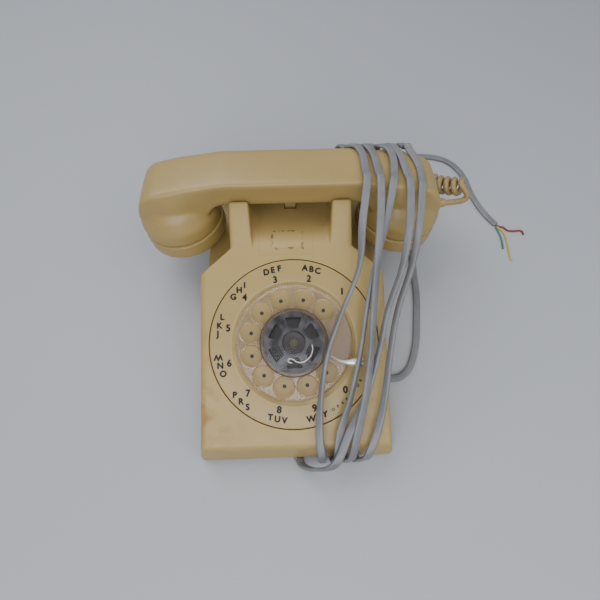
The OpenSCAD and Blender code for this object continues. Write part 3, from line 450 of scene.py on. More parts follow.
cord_side = across(cord_side, ways)
cord_side = cord_side * np.cos(twist) + np.cross(ways, cord_side) * np.sin(twist)
line_cord = sweep("line_cord", cord_line, cord_side, grooved_ring(CORD_W, CORD_T))

# %% [markdown]
# Three thin insulated conductors come out of the flat jacket's end.

# %% Conductors
WIRE_D = 1.5
WIRE_Z = WIRE_D / 2 + 0.2
WIRES = {
    "red_conductor": [[181.6, 188.6], [184, 187], [187, 186.4], [190, 183], [194, 182], [202, 182], [203, 178]],
    "yellow_conductor": [[181.6, 187.1], [183.6, 184.6], [186, 181.3], [187, 175], [186.4, 165], [185.8, 152]],
    "green_conductor": [[180.6, 186.3], [181.4, 183], [182.4, 178], [182.6, 172], [181.6, 164]],
}
wires = {}
for wire_name, places in WIRES.items():
    wire_line = smooth_line(np.column_stack([places, np.full(len(places), WIRE_Z)]), 6)
    wire_line[:, 1] = along(wire_line[:, 1])
    flat = np.cross(tangents(wire_line), [0, 0, 1])
    wires[wire_name] = sweep(wire_name, wire_line, flat, round_ring(WIRE_D, 12))
print("conductors:", ", ".join(wires))

# %% [markdown]
# The handset's cord is a helix of forty tight curls. Its middle line goes from the right end of the
# handset round behind it, along its back edge and down to the rear wall.

# %% Handset cord
STRAND_D, CURL_D, CURLS = 4.4, 14.6, 40
CURL_AXIS = np.array([
    [131, 183, 59], [123, 188, 54.5], [115, 194, 50.5], [107, 200, 50], [98, 204.8, 54], [88, 206.8, 61.5],
    [76, 203.4, 70], [60, 200.4, 71], [44, 199, 69.5], [28, 199, 69], [12, 199, 69], [-4, 199, 69],
    [-20, 199, 69], [-36, 200, 69], [-48, 206, 66], [-56, 214, 56], [-60, 218.6, 44], [-60.5, 219, 31],
    [-57.5, 219.3, 20], [-50, 219.7, 12], [-39, 220, 8.4]], float)
HANDSET_P, HANDSET_Z, HANDSET_LEAN = 173.5, 95.5, math.radians(5)
END_W, BOOT_L = 109.5, 6.0
CURL_RINGS, CURL_PHASE, LINE_STEPS, TUBE_SIDES = 16, math.radians(210), 6, 12
# The curls next to the handset are closed up, the others are a little stretched
TIGHT_CURLS, TIGHT_PITCH = 4, 5.7
# Half the share of the middle line over which its direction is taken, and a vector that it never follows
LOOK, ASIDE = 0.01, [0.2, 0.5, 1]
axis_line = smooth_line(CURL_AXIS, LINE_STEPS)
axis_line[:, 1] = along(axis_line[:, 1])
axis_sums = np.concatenate([[0], np.cumsum(np.linalg.norm(np.diff(axis_line, axis=0), axis=1))])


def on_axis(s):
    """Points of the curls' middle line, at shares s of its length."""
    f = np.clip(s, 0, 1) * axis_sums[-1]
    return np.stack([np.interp(f, axis_sums, axis_line[:, k]) for k in range(3)], -1)


turns_done = np.arange(CURLS * CURL_RINGS + 1) / CURL_RINGS
loose_pitch = (axis_sums[-1] - TIGHT_CURLS * TIGHT_PITCH) / (CURLS - TIGHT_CURLS)
s = (np.minimum(turns_done, TIGHT_CURLS) * TIGHT_PITCH
     + np.maximum(turns_done - TIGHT_CURLS, 0) * loose_pitch) / axis_sums[-1]
way = unit_rows(on_axis(s + LOOK) - on_axis(s - LOOK))
first_normal = unit_rows(np.cross(way, ASIDE))
second_normal = np.cross(way, first_normal)
turn = (2 * np.pi * np.arange(len(s)) / CURL_RINGS + CURL_PHASE)[:, None]
helix = on_axis(s) + (CURL_D - STRAND_D) / 2 * (first_normal * np.cos(turn) + second_normal * np.sin(turn))
boot_end = np.array([END_W + BOOT_L + 0.4, along(HANDSET_P) - 3.4, HANDSET_Z - 38.9])
curl_start = smooth_line([
    boot_end - [3, 0, 0], boot_end, boot_end + [5.5, 0.6, -0.3],
    [131.2, along(174.6), 53.5], [133.6, along(176.4), 57.2], helix[0]], LINE_STEPS)
curl_finish = np.array([[-31, 219.5, 9.5], [-30, 216, 13], [-30, 212, 14], [-30, 206.4, 14]])
curl_finish[:, 1] = along(curl_finish[:, 1])
curl_finish = smooth_line(np.concatenate([helix[-1:], curl_finish]), LINE_STEPS)
curl_line = np.concatenate([curl_start[:-1], helix, curl_finish[1:]])
outward = curl_line - on_axis(s[np.clip(np.arange(len(curl_line)) - len(curl_start) + 1, 0, len(s) - 1)])
handset_cord = sweep("curled_cord", curl_line, outward, round_ring(STRAND_D, TUBE_SIDES))

# %% [markdown]
# ## The housing
# The moulding is one sheet of plastic, so its outside is a single loft. A ridge line goes up the bottom
# wall, along the sloping face to the tips of the two cradle ears, over the saddle behind them and down the
# rear wall. At each of its points a cross-section goes from the rim, up the side, over the low deck beside
# the cradle, up the shoulder, across the ear and down into the hollow between the ears. The corners of the
# cross-section move and fold away where the body has no deck or no hollow.

# %% Ridge line
HALF_W, FACE_HALF, RIM_Z, WALL = 65.0, 61.5, 3.2, 2.8
SHOULDER_P, NECK_P, EAR_OUT, EAR_IN = 111.4, 127.4, 41.5, 27.5
EAR_TIP_P, EAR_TIP_Z, SADDLE_Z, BLOCK_P, DECK_Z = 154.65, 83.9, 73.9, 204.0, 26.0
LEDGE_P, LEDGE_Z, SADDLE_DROP = 188.75, 60.0, 4.3
ROLL_P, ROLL_R, FALL_TILT, TROUGH_START, TROUGH_END = 121.4, 25.0, math.radians(20), 177.5, 185.75
REAR_R, TOE_CORNER_R, REAR_CORNER_R, BLOCK_CORNER_R = 7.0, 4.0, 8.0, 6.0
RIDGE_STEP, TROUGH_LIP, STEEP = 2.2, 0.3, 0.02


def rounded_end(distance, radius):
    """How far a rounded corner stays back from its wall, below zero, at a distance from the form's end."""
    return np.sqrt(radius ** 2 - (radius - np.clip(distance, 0, radius)) ** 2) - radius


def deck_height(p):
    """Height of the low deck beside the cradle, rounded off at the rear."""
    return DECK_Z + rounded_end(BODY_L - p, REAR_R)


rear_curve = [[p, float(deck_height(p)), 0] for p in (204.2, 205, 206, 206.8, 207.4, 207.8, 208)]
saddle_slope = SADDLE_DROP / (LEDGE_P - EAR_TIP_P)
lip_p = TROUGH_END + TROUGH_LIP
ridge = rounded([
    [0, RIM_Z, 0], [TOE_LEAN, TOE_H, 6], [NECK_P, face_height(NECK_P), 40], [EAR_TIP_P, EAR_TIP_Z, 1.6],
    [EAR_TIP_P + STEEP, SADDLE_Z, 0.6], [TROUGH_END, SADDLE_Z - saddle_slope * (TROUGH_END - EAR_TIP_P), 0],
    [lip_p, SADDLE_Z - saddle_slope * (lip_p - EAR_TIP_P), 0], [LEDGE_P, SADDLE_Z - SADDLE_DROP, 3],
    [LEDGE_P + STEEP, LEDGE_Z, 0.6], [BLOCK_P, LEDGE_Z, 4], [BLOCK_P + STEEP, 26.2, 0.8]]
    + rear_curve + [[BODY_L, RIM_Z, 0]], 8)
ridge = refine(ridge, RIDGE_STEP)
p, top = ridge[:, 0], ridge[:, 1]
print("points along the ridge:", len(ridge))

# %% [markdown]
# At every point of the ridge the widths follow: the leaning side, the deck where it shows, and the
# shoulder, which runs in along a diagonal from the face's full width to the ears.

# %% Widths of the housing
MIDDLE_P, DECK_SHARE, SIDE_SLOPE, DECK_FADE, FOOT_RISE = 100, 0.55, 0.094, 4, 1.5
half = HALF_W + np.where(p > MIDDLE_P, rounded_end(BODY_L - p, REAR_CORNER_R), rounded_end(p, TOE_CORNER_R))
deck = np.minimum(deck_height(p), np.where(p < MIDDLE_P, RIM_Z + DECK_SHARE * (top - RIM_Z), np.inf))
deck = np.where(p >= BLOCK_P, np.minimum(deck, top), deck)


def side_at(z):
    """Half width of the leaning side at height z: the top's, and slope times the depth below the top."""
    return np.minimum(half, half - HALF_W + FACE_HALF + SIDE_SLOPE * (top - z))


diagonal = FACE_HALF - (p - SHOULDER_P) * (FACE_HALF - EAR_OUT) / (NECK_P - SHOULDER_P)
upper = np.maximum(EAR_OUT, diagonal) + rounded_end(BLOCK_P - p, BLOCK_CORNER_R)
foot = np.minimum(side_at(deck), upper)
shown = np.where(p >= BLOCK_P, 1, np.clip((side_at(deck) - foot) / DECK_FADE, 0, 1))
foot_z = np.minimum(deck + FOOT_RISE * (1 - shown), top)
shoulder_x = np.minimum(side_at(top), upper)
print("greatest half width in mm:", half.max())

# %% [markdown]
# Between the ears the face rolls over an arc into a straight fall, down to the trough under the handset.

# %% Hollow between the ears
ROLL_LIFT, ABOVE_ALL, EAR_SPREAD = 0.3, 200, 2.8
roll = np.linspace(FACE_TILT, -FALL_TILT, 20)
roll_p = ROLL_P + ROLL_R * (math.sin(FACE_TILT) - np.sin(roll))
roll_z = face_height(ROLL_P) + ROLL_LIFT + ROLL_R * (np.cos(roll) - math.cos(FACE_TILT))
trough_z = roll_z[-1] - math.tan(FALL_TILT) * (TROUGH_START - roll_p[-1])
fall = np.concatenate([
    [[ROLL_P - 1, ABOVE_ALL]], np.stack([roll_p, roll_z], 1),
    [[TROUGH_START, trough_z], [TROUGH_END, trough_z], [lip_p, ABOVE_ALL]]])
ear_in = np.interp(p, [ROLL_P - 6, EAR_TIP_P], [EAR_IN - EAR_SPREAD, EAR_IN])
hollow = np.minimum(top, np.interp(p, fall[:, 0], fall[:, 1]))
print("height of the trough in mm:", round(float(trough_z), 2))

# %% [markdown]
# Seven corners make each half cross-section. Softened and mirrored, the cross-sections are one surface,
# which gets its wall inwards.

# %% Housing
def cross_sections(*corners):
    """Cross-sections along a form; each corner is a pair of its places to the side and its heights."""
    return np.stack([np.stack(np.broadcast_arrays(a, b), -1) for a, b in corners], 1)


TINY, MOST_OF_EDGE = 1e-6, 0.48


def soften(corners, reach, steps=7):
    """Cross-sections whose corners, all but the first and last, are parabolas that leave and meet both edges
    at the same distance: reach, or nearly half of the shorter edge where that is less."""
    t = np.linspace(0, 1, steps)[None, :, None]
    parts = [corners[:, :1]]
    for j in range(1, corners.shape[1] - 1):
        here = corners[:, j]
        u, v = corners[:, j - 1] - here, corners[:, j + 1] - here
        lu, lv = (np.maximum(np.linalg.norm(w, axis=1), TINY) for w in (u, v))
        step = np.minimum(reach[j], MOST_OF_EDGE * np.minimum(lu, lv))
        a = (here + u * (step / lu)[:, None])[:, None]
        b = (here + v * (step / lv)[:, None])[:, None]
        parts.append((1 - t) ** 2 * a + 2 * t * (1 - t) * here[:, None] + t ** 2 * b)
    return np.concatenate(parts + [corners[:, -1:]], 1)


section = cross_sections((half, RIM_Z), (side_at(deck), deck), (foot, foot_z), (shoulder_x, top),
                         (ear_in + 1, top), (ear_in, hollow), (0.0, hollow))
edge_soft = np.interp(p, [EAR_TIP_P - 30, EAR_TIP_P - 8], [5.0, 2.6])
half_section = soften(section, [0, 3.2, 2.5, edge_soft, 2.4, 6.0, 0])
xz = np.concatenate([half_section, (half_section * [-1, 1])[:, -2::-1]], 1)
shell_points = np.stack([xz[..., 0], along(p)[:, None] + 0 * xz[..., 0], xz[..., 1]], -1)
housing = add_mesh("telephone_housing", shell_points, grid_faces(*xz.shape[:2]))
weld(housing, 0.02)
normals = np.empty(len(housing.data.polygons) * 3)
housing.data.polygons.foreach_get("normal", normals)
if normals.reshape(-1, 3)[:, 2].sum() < 0:
    housing.data.flip_normals()
thick = housing.modifiers.new("wall", "SOLIDIFY")
thick.thickness = WALL * MM
thick.offset = -1
thick.use_rim = True
settle(housing)
print("shell faces:", len(housing.data.polygons))

# %% [markdown]
# The shell is cut open for the dial, the hook lever, the loudness wheel and the handset's cord.

# %% Openings of the housing
def block(name, low, high):
    """Box between two corners."""
    low, high = np.array(low, float), np.array(high, float)
    unit = np.array([[x, y, z] for x in (0, 1) for y in (0, 1) for z in (0, 1)], float)
    faces = [[0, 1, 3, 2], [4, 6, 7, 5], [0, 4, 5, 1], [2, 3, 7, 6], [0, 2, 6, 4], [1, 5, 7, 3]]
    return add_mesh(name, low + unit * (high - low), faces, False)


def drum(name, place, radius, low, high, sides=64):
    """Cylinder between two heights, moved by the function place."""
    return revolve(name, [[0, low], [radius, low], [radius, high], [0, high]], place, sides)


PLATE_R, PLATE_GAP, ROUND_SIDES = 55.5, 0.5, 192
CORD_EXIT, CORD_EXIT_R = [-30, along(198), 14], 4.2
dial_cut = drum("dial_cut", on_face, PLATE_R + PLATE_GAP, -22, 40, ROUND_SIDES)
lever_cut = block("lever_cut", [-4.5, along(168.3), 40], [4.5, along(180), 72])
wheel_cut = block("wheel_cut", [-12, along(200), 10.4], [12, along(212), 15.6])
cord_cut = drum("cord_cut", lambda q: turned(q, "x", -math.pi / 2) + CORD_EXIT, CORD_EXIT_R, 0, 20)
cut(housing, dial_cut, lever_cut, wheel_cut, cord_cut)
sharpen(housing, 40)
print("housing faces:", len(housing.data.polygons))

# %% [markdown]
# ## The dial
# The number plate is a revolved form, flush with the face, with a shallow dish that the wheel turns in.

# %% Number plate
DISH_R, DISH_D, HOLE_CIRCLE, HOLES, HOLE_START, HOLE_STEP = 40.0, 2.0, 29.0, 10, 46, 30
BORE_R, PLATE_T = 3.05, 1.8
plate_profile = rounded([
    [BORE_R, -DISH_D, 0], [DISH_R - 1.6, -DISH_D, 1.6], [DISH_R + 0.9, 0, 1.6], [PLATE_R, 0, 0.9],
    [PLATE_R, -PLATE_T, 0], [DISH_R + 2, -PLATE_T, 0], [DISH_R, -DISH_D - PLATE_T, 0],
    [BORE_R, -DISH_D - PLATE_T, 0]], 8)
number_plate = sharpen(revolve("dial_number_plate", plate_profile, on_face, ROUND_SIDES, True))
print("number plate faces:", len(number_plate.data.polygons))

# %% [markdown]
# Its digits and letters are type laid on the plate round two circles. Most stand upright, and those at
# the dial's top and bottom lean a little with the circle. A dot lies under each finger hole.

# %% Dial characters
# For each digit its letters, and the places of the letters round the circle in degrees
LETTERS = {
    2: ("ABC", (80.1, 75, 69.9)), 3: ("DEF", (109.9, 104.8, 99.7)), 4: ("GHI", (141.5, 134.7, 129.2)),
    5: ("LKJ", (158.9, 165.6, 171.8)), 6: ("MNO", (189.2, 195.8, 202.2)), 7: ("PRS", (219.8, 226.3, 232.6)),
    8: ("TUV", (250.8, 256.2, 261.5)), 9: ("WXY", (281.2, 286.7, 292))}
# Size, radius and half the extra stroke of the three kinds of type
DIGIT_SIZE, DIGIT_R, DIGIT_BOLD = 6.2, 44.3, 0.28
LETTER_SIZE, LETTER_R, LETTER_BOLD = 5.5, 50.3, 0.3
SMALL_SIZE, SMALL_R, SMALL_BOLD = 2.6, 50.0, 0.08
SMALL_START, SMALL_STEP = -61, 4.3
# Single digits and words that stand further out or further round
DIGIT_OUT = {1: 2.3, 2: -0.7, 3: -0.7, 0: 1.0}
DIGIT_TURN = {1: -1.0, 2: -0.8, 3: -0.9}
WORD_OUT = {7: 0.8}
STROKE, PRINT_H, LEAN_SHARE, LEAN_REACH = 0.03, 0.06, 0.45, 30
marks = []


def type_data(text, size):
    """Points and faces of a short text, centred on its origin."""
    data = bpy.data.curves.new("type", "FONT")
    data.body = text
    data.size = size
    data.offset = STROKE
    data.align_x = "CENTER"
    data.align_y = "CENTER"
    data.resolution_u = 4
    holder = bpy.data.objects.new("type", data)
    bpy.context.scene.collection.objects.link(holder)
    bpy.context.view_layer.update()
    mesh = bpy.data.meshes.new_from_object(holder.evaluated_get(bpy.context.evaluated_depsgraph_get()))
    made = mesh_data(mesh)
    bpy.data.objects.remove(holder)
    bpy.data.curves.remove(data)
    bpy.data.meshes.remove(mesh)
    return made


def lean_of(angle):
    """Lean of a character: a share of its way from the dial's top or bottom, when it is near one."""
    for middle in (90, 270):
        if abs(angle - middle) < LEAN_REACH:
            return (angle - middle) * LEAN_SHARE
    return 0


def put_type(text, size, radius, angle, lean, bold):
    """One character, laid down four times a little apart to make it bold. M is a W turned over."""
    points, faces = type_data("W" if text == "M" else text, size)
    points = turned(points, "z", math.radians(lean + (180 if text == "M" else 0)))
    for dx, dy in ((-bold, 0), (bold, 0), (0, -bold), (0, bold)):
        marks.append((points + polar(radius, angle, PRINT_H) + [dx, dy, 0], faces))


for i in range(HOLES):
    angle = HOLE_START + HOLE_STEP * i
    digit = (i + 1) % HOLES
    put_type(str(digit), DIGIT_SIZE, DIGIT_R + DIGIT_OUT.get(digit, 0), angle + DIGIT_TURN.get(digit, 0),
             lean_of(angle), DIGIT_BOLD)
    word, places = LETTERS.get(digit, ("", ()))
    for letter, place in zip(word, places):
        put_type(letter, LETTER_SIZE, LETTER_R + WORD_OUT.get(digit, 0), place, lean_of(angle), LETTER_BOLD)
for k, letter in enumerate("OPERATOR"):
    place = SMALL_START + SMALL_STEP * k
    put_type(letter, SMALL_SIZE, SMALL_R, place, place + 90, SMALL_BOLD)
mark_points, mark_faces = merged(marks)
dial_characters = add_mesh("dial_characters", on_face(mark_points), mark_faces, False)
print("characters:", len(marks) // 4)

# %% Dots under the finger holes
DOT_D, DOT_SIDES = 2.6, 20
dot = np.column_stack([round_ring(DOT_D, DOT_SIDES), np.zeros(DOT_SIDES)])
dots = [(dot + polar(HOLE_CIRCLE, HOLE_START + HOLE_STEP * i, PRINT_H - DISH_D), [list(range(DOT_SIDES))])
        for i in range(HOLES)]
dot_points, dot_faces = merged(dots)
dial_dots = add_mesh("dial_dots", on_face(dot_points), dot_faces, False)
print("dots:", len(dots))

# %% [markdown]
# The fingerwheel is clear plastic. Each finger hole is cut with a revolved tool that is wider at both
# faces, which leaves a polished bevel round the hole.

# %% Fingerwheel
WHEEL_R, WHEEL_T, WHEEL_N, HUB_R, FINGER_R = 38.1, 3.6, 2.6, 20.5, 6.65
WHEEL_TOP = WHEEL_N + WHEEL_T
wheel_profile = rounded([
    [1.5, WHEEL_N, 0], [WHEEL_R - 0.6, WHEEL_N, 0.5], [WHEEL_R, WHEEL_N + 1.6, 0.8],
    [WHEEL_R - 1.6, WHEEL_TOP, 1.2], [HUB_R + 1.2, WHEEL_TOP, 0], [HUB_R + 1.2, WHEEL_TOP - 2, 0],
    [1.5, WHEEL_TOP - 2, 0]], 8)
fingerwheel = revolve("clear_fingerwheel", wheel_profile, on_face, ROUND_SIDES, True)
hole_profile = rounded([
    [0, WHEEL_N - 1, 0], [FINGER_R + 0.8, WHEEL_N - 1, 0], [FINGER_R + 0.5, WHEEL_N, 0],
    [FINGER_R, WHEEL_N + 0.6, 0.8], [FINGER_R, WHEEL_TOP - 1.0, 1.2], [FINGER_R + 0.7, WHEEL_TOP, 0],
    [FINGER_R + 0.8, WHEEL_TOP + 1, 0], [0, WHEEL_TOP + 1, 0]], 6)
hole_tools = []
for i in range(HOLES):
    shift = polar(HOLE_CIRCLE, HOLE_START + HOLE_STEP * i)
    hole_tools.append(revolve("hole_tool", hole_profile, lambda q, d=shift: on_face(q + d), 48))
cut(fingerwheel, join("hole_tools", hole_tools))
sharpen(fingerwheel, 30)
print("fingerwheel faces:", len(fingerwheel.data.polygons))

# %% [markdown]
# In the wheel's hub lies a curved wire spring over the card holder plate.

# %% Card spring
HUB_FLOOR, SPRING_D, SPRING_UP = WHEEL_TOP - 2, 0.9, 0.84
spring_places = smooth_line([
    [-1.5, -13.0, 0], [-4.0, -12.2, 0], [-3.4, -10.4, 0], [-0.8, -10.6, 0], [2.2, -12.6, 0], [6.5, -12.2, 0],
    [10.2, -9.2, 0], [11.9, -5.0, 0], [11.6, -1.6, 0]], 8)
spring_places[:, 2] = HUB_FLOOR + SPRING_UP + SPRING_D / 2
card_spring = sweep("wire_card_spring", on_face(spring_places), on_face(spring_places) * 0 + [0, -0.35, 0.94],
                    round_ring(SPRING_D, 10))
print("card spring length in mm:", round(line_length(spring_places), 1))

# %% [markdown]
# Between the wheel's hub and the card holder plate lies a black card that shows through the plate's
# openings. On the plate sits a raised dark collar round the screw, and a dark line runs round the
# window's rim.

# %% Hub pieces
CARD_IN, CARD_OUT = 1.6, 19.4
CARD_LOW, CARD_HIGH = HUB_FLOOR + 0.004, HUB_FLOOR + 0.016
COLLAR_IN, COLLAR_OUT, COLLAR_LOW = 2.75, 7.6, HUB_FLOOR + 0.86
hub_backing = revolve("hub_backing_disc", [
    [CARD_IN, CARD_LOW], [CARD_OUT, CARD_LOW], [CARD_OUT, CARD_HIGH], [CARD_IN, CARD_HIGH]], on_face, 96, True)
hub_collar = revolve("hub_collar", rounded([
    [COLLAR_IN, COLLAR_LOW, 0], [COLLAR_OUT, COLLAR_LOW, 0], [COLLAR_OUT, HUB_FLOOR + 1.7, 0.3],
    [COLLAR_OUT - 1, HUB_FLOOR + 2.1, 0.4], [4.2, HUB_FLOOR + 1.5, 0.4],
    [COLLAR_IN, HUB_FLOOR + 1.4, 0]], 4), on_face, 64, True)
sharpen(hub_collar, 35)
hub_rim = revolve("hub_rim_ring", [
    [21.55, WHEEL_TOP + 0.02], [22.2, WHEEL_TOP + 0.02], [22.1, WHEEL_TOP + 0.35],
    [21.6, WHEEL_TOP + 0.35]], on_face, 128, True)
print("hub pieces:", hub_backing.name, hub_collar.name, hub_rim.name)

# %% [markdown]
# The hook lever turns on its pin inside the body. Its arm runs back under the cradle's floor, and a thin
# post carries the pad that the handset's handle presses down.

# %% Hook lever
HOOK_P, HOOK_Z, PAD_P, PAD_Z = 140.0, 42.0, 171.5, 67.8
lever_side = rounded([
    [HOOK_P, HOOK_Z - 1.4, 0], [PAD_P + 4, HOOK_Z - 1.4, 1], [PAD_P + 4, PAD_Z - 1, 0],
    [PAD_P + 0.6, PAD_Z - 1, 0], [PAD_P + 0.6, HOOK_Z + 1.4, 2], [HOOK_P, HOOK_Z + 1.4, 0]], 5)
ARM_HALF = 4.0
side_yz = np.column_stack([along(lever_side[:, 0]), lever_side[:, 1]])
arm_points = np.stack([np.column_stack([np.full(len(side_yz), x), side_yz]) for x in (-ARM_HALF, ARM_HALF)])
arm = add_mesh("arm", arm_points, tube_faces(2, len(side_yz)))


def cross_roll(name, radius, half, at, bore=0.0):
    """Cylinder along X whose middle is at (place along the body, height)."""
    profile = [[bore, -half], [radius - 0.4, -half], [radius, -half + 0.4], [radius, half - 0.4],
               [radius - 0.4, half], [bore, half]]
    middle = [0, along(at[0]), at[1]]
    return revolve(name, profile, lambda q: turned(q, "y", math.pi / 2) + middle, 40, bore > 0)


hook_lever = weld(join("hook_lever_moulding", [
    arm, cross_roll("sleeve", 4, 7, (HOOK_P, HOOK_Z), 1.65), cross_roll("pad", 4, 5.5, (PAD_P, PAD_Z))]))
sharpen(hook_lever, 40)
print("hook lever faces:", len(hook_lever.data.polygons))

# %% [markdown]
# The finger stop is a polished blade that rises from the plate beside the wheel and reaches in over it.
# Its section goes up from the blade's upper edge and down to its lower one, and the blade bends down
# towards its stem.

# %% Finger stop
stop_upper = smooth_line([
    [23.2, -8.2, 0], [27.8, -10.9, 0], [32.8, -11.9, 0], [38.6, -11.1, 0], [43.6, -10.9, 0]], 8)
stop_lower = smooth_line([
    [23.4, -9.2, 0], [27.6, -12.5, 0], [32.6, -14.6, 0], [38.0, -15.8, 0], [43.0, -16.1, 0]], 8)
# Height over the wheel, and share of the way from the upper edge to the lower one; the last two lie below
STOP_SECTION = [(0.8, 0.0), (1.2, 0.06), (1.8, 0.2), (2.15, 0.5), (1.8, 0.8), (1.2, 0.94), (0.8, 1.0),
                (0.4, 1.0), (0.4, 0.0)]
BEND_START, BEND_L, BEND_DROP = 39.4, 4.2, 7.2
stop_points = np.stack([
    stop_upper * (1 - share) + stop_lower * share + [0, 0, WHEEL_TOP + up] for up, share in STOP_SECTION], 1)
bend = np.clip((stop_points[..., 0] - BEND_START) / BEND_L, 0, 1)
stop_points[..., 2] -= BEND_DROP * bend ** 2
blade = add_mesh("blade", on_face(stop_points), tube_faces(len(stop_upper), len(STOP_SECTION)))
stem_outline = rounded([
    [39.4, -16.0, 0], [44.2, -16.4, 0.8], [44.4, -10.9, 0.8], [39.6, -10.8, 0.8], [39.4, -16.0, 0]], 4)[:-1]
stem_rings = np.stack([
    np.column_stack([stem_outline, np.full(len(stem_outline), z)]) for z in (0, WHEEL_TOP + 0.8)])
stem = add_mesh("stem", on_face(stem_rings), tube_faces(2, len(stem_outline))[:-1])
finger_stop = weld(join("curved_finger_stop", [blade, stem]))
sharpen(finger_stop, 45)
print("finger stop faces:", len(finger_stop.data.polygons))

# %% [markdown]
# ## The handset
# The handle is a loft of rounded sections. Each cup is revolved about its own leaning axis. The three are
# fused by a voxel remesh and relaxed, which gives the soft fillets of a moulding.

# %% Handset
HANDSET_H, HANDLE_W, HANDLE_H, BACK_DROP = 63.0, 36.5, 22.5, 10.0
CAP_H, CAP_X, CAP_IN, CAP_R = 15.0, 80.7, 7, 30.0
# The handle's end radius; how far its cheek lies inside the back's edge; how far the keel's edge comes in
# towards the cup's foot, between two depths; where and how far cheek and keel swell into the cup
END_R, CHEEK_IN, KEEL_IN, KEEL_FROM, KEEL_OVER = 9, 2, 4, 13, 47
SWELL_X, SWELL_W, SWELL_CHEEK, SWELL_KEEL = 82, 15, 4.5, 8
VOXEL, RELAX_STEPS = ((0.9, 14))


def on_handset(points):
    """From the handset's frame, with Z square to its back, to the telephone's."""
    return turned(points, "x", -HANDSET_LEAN) + np.array([0, along(HANDSET_P), HANDSET_Z])


def on_cap(side):
    """The function that moves a cup or cap to its leaning axis, at the left (-1) or right (1)."""
    return lambda points: on_handset(
        turned(points, "y", math.radians(side * CAP_IN)) + np.array([side * CAP_X, 0, CAP_H - HANDSET_H]))


back_line = refine(rounded([
    [0, 0, 0], [46, 0, 60], [74, -4.2, 60], [END_W - 8.5, -BACK_DROP, 18], [END_W, -38, 0]], 12), 2.0)
back_line = back_line[back_line[:, 1] > -30]
keel = rounded([
    [0, -HANDLE_H, 0], [52, -HANDLE_H, 12], [60, -36, 6], [CAP_X + 4, -44, 0], [END_W + 2, -38, 0]], 12)
keel_x = np.linspace(0, len(keel) - 1, 400)
keel_line = np.stack([np.interp(keel_x, np.arange(len(keel)), keel[:, k]) for k in range(2)], -1)
bx, bz = back_line[:, 0], back_line[:, 1]
kz = np.interp(bx, keel_line[:, 0], keel_line[:, 1])
wide = HANDLE_W / 2 + rounded_end(END_W - bx, END_R)
low_wide = wide - CHEEK_IN - KEEL_IN * (-kz - KEEL_FROM) / KEEL_OVER
mid_z = bz + np.maximum((kz - bz) / 2, -KEEL_FROM)
swell = np.exp(-((bx - SWELL_X) / SWELL_W) ** 2)
# Half section: middle of the back, its edge, the cheek and the keel
handle_half = cross_sections((0.0, bz + 0.35), (wide * 0.55, bz + 0.2), (wide, bz - 0.6),
                             (wide - CHEEK_IN + SWELL_CHEEK * swell, mid_z),
                             (low_wide + SWELL_KEEL * swell, kz), (0.0, kz))
handle_half = soften(handle_half, [0, 6, 3.0, 6, 5, 0], 6)
ring_yz = np.concatenate([handle_half, (handle_half * [-1, 1])[:, -2:0:-1]], 1)
right = np.stack([bx[:, None] + 0 * ring_yz[..., 0], ring_yz[..., 0], ring_yz[..., 1]], -1)
whole = np.concatenate([(right * [-1, 1, 1])[:0:-1], right])
handle = weld(add_mesh("handle", on_handset(whole), tube_faces(*whole.shape[:2])))
cup_profile = rounded([
    [0, 0.2, 0], [CAP_R - 0.8, 0.2, 0.4], [CAP_R - 0.3, 10, 10], [CAP_R - 6, 22, 14], [CAP_R - 18, 30, 8],
    [0, 31, 0]], 8)
cups = [revolve("cup", cup_profile, on_cap(side), 96) for side in (-1, 1)]
handset = join("handset_handle", [handle] + cups)
fuse = handset.modifiers.new("fuse", "REMESH")
fuse.mode = "VOXEL"
fuse.voxel_size = VOXEL * MM
relax = handset.modifiers.new("relax", "SMOOTH")
relax.factor = 0.5
relax.iterations = RELAX_STEPS
settle(handset)
handset.data.polygons.foreach_set("use_smooth", np.ones(len(handset.data.polygons), bool))
print("handset faces:", len(handset.data.polygons))

# %% [markdown]
# Each cap is lathed and gets one ring of sound holes and one hole in its middle. The cord's boot is a
# short sleeve at the right end.

# %% Caps and boot
cap_profile = rounded([
    [0, -CAP_H + 1.6, 0], [CAP_R - 9, -CAP_H + 1.2, 8], [CAP_R - 5, -CAP_H, 2], [CAP_R, -CAP_H + 4, 3],
    [CAP_R, -0.8, 0.5], [CAP_R - 0.8, -0.15, 0], [CAP_R - 3.2, -0.15, 0], [CAP_R - 3.2, -CAP_H + 4.4, 1],
    [0, -CAP_H + 4.2, 0]], 8)
STRAND_BORE = 2.25


def cap(name, side, holes, circle, hole_r):
    """Cap at one end, with its ring of sound holes on a circle and one in the middle."""
    body = revolve(name, cap_profile, on_cap(side), 128)
    low, high = -CAP_H - 1, -CAP_H + 9
    places = [polar(circle, 360 * i / holes) for i in range(holes)] + [np.zeros(3)]
    tools = [drum("sound_hole", lambda q, d=place: on_cap(side)(q + d), hole_r, low, high, 20)
             for place in places]
    cut(body, join("sound_holes", tools))
    return sharpen(body, 40)


receiver_cap = cap("receiver_lid", -1, 6, 7, 1.3)
transmitter_cap = cap("transmitter_lid", 1, 12, 11, 1.1)
boot_profile = rounded([
    [0, -3, 0], [3.8, -3, 0.4], [3.7, 2, 0.6], [3, BOOT_L, 0.4], [STRAND_BORE, BOOT_L, 0],
    [STRAND_BORE, 2, 0], [0, 2, 0]], 5)
handset_boot = revolve("cord_boot", boot_profile,
                       lambda q: on_handset(turned(q, "y", math.pi / 2) + [END_W + 0.02, 0, -39]), 48)
sharpen(handset_boot, 40)
print("cap faces:", len(receiver_cap.data.polygons), len(transmitter_cap.data.polygons))

# %% [markdown]
# ## Materials
# Every material is procedural and works in the object's own coordinates. A material is made of nodes, and
# each node's sockets take either a value or another node's output.

# %% Material tools
MATS = {}


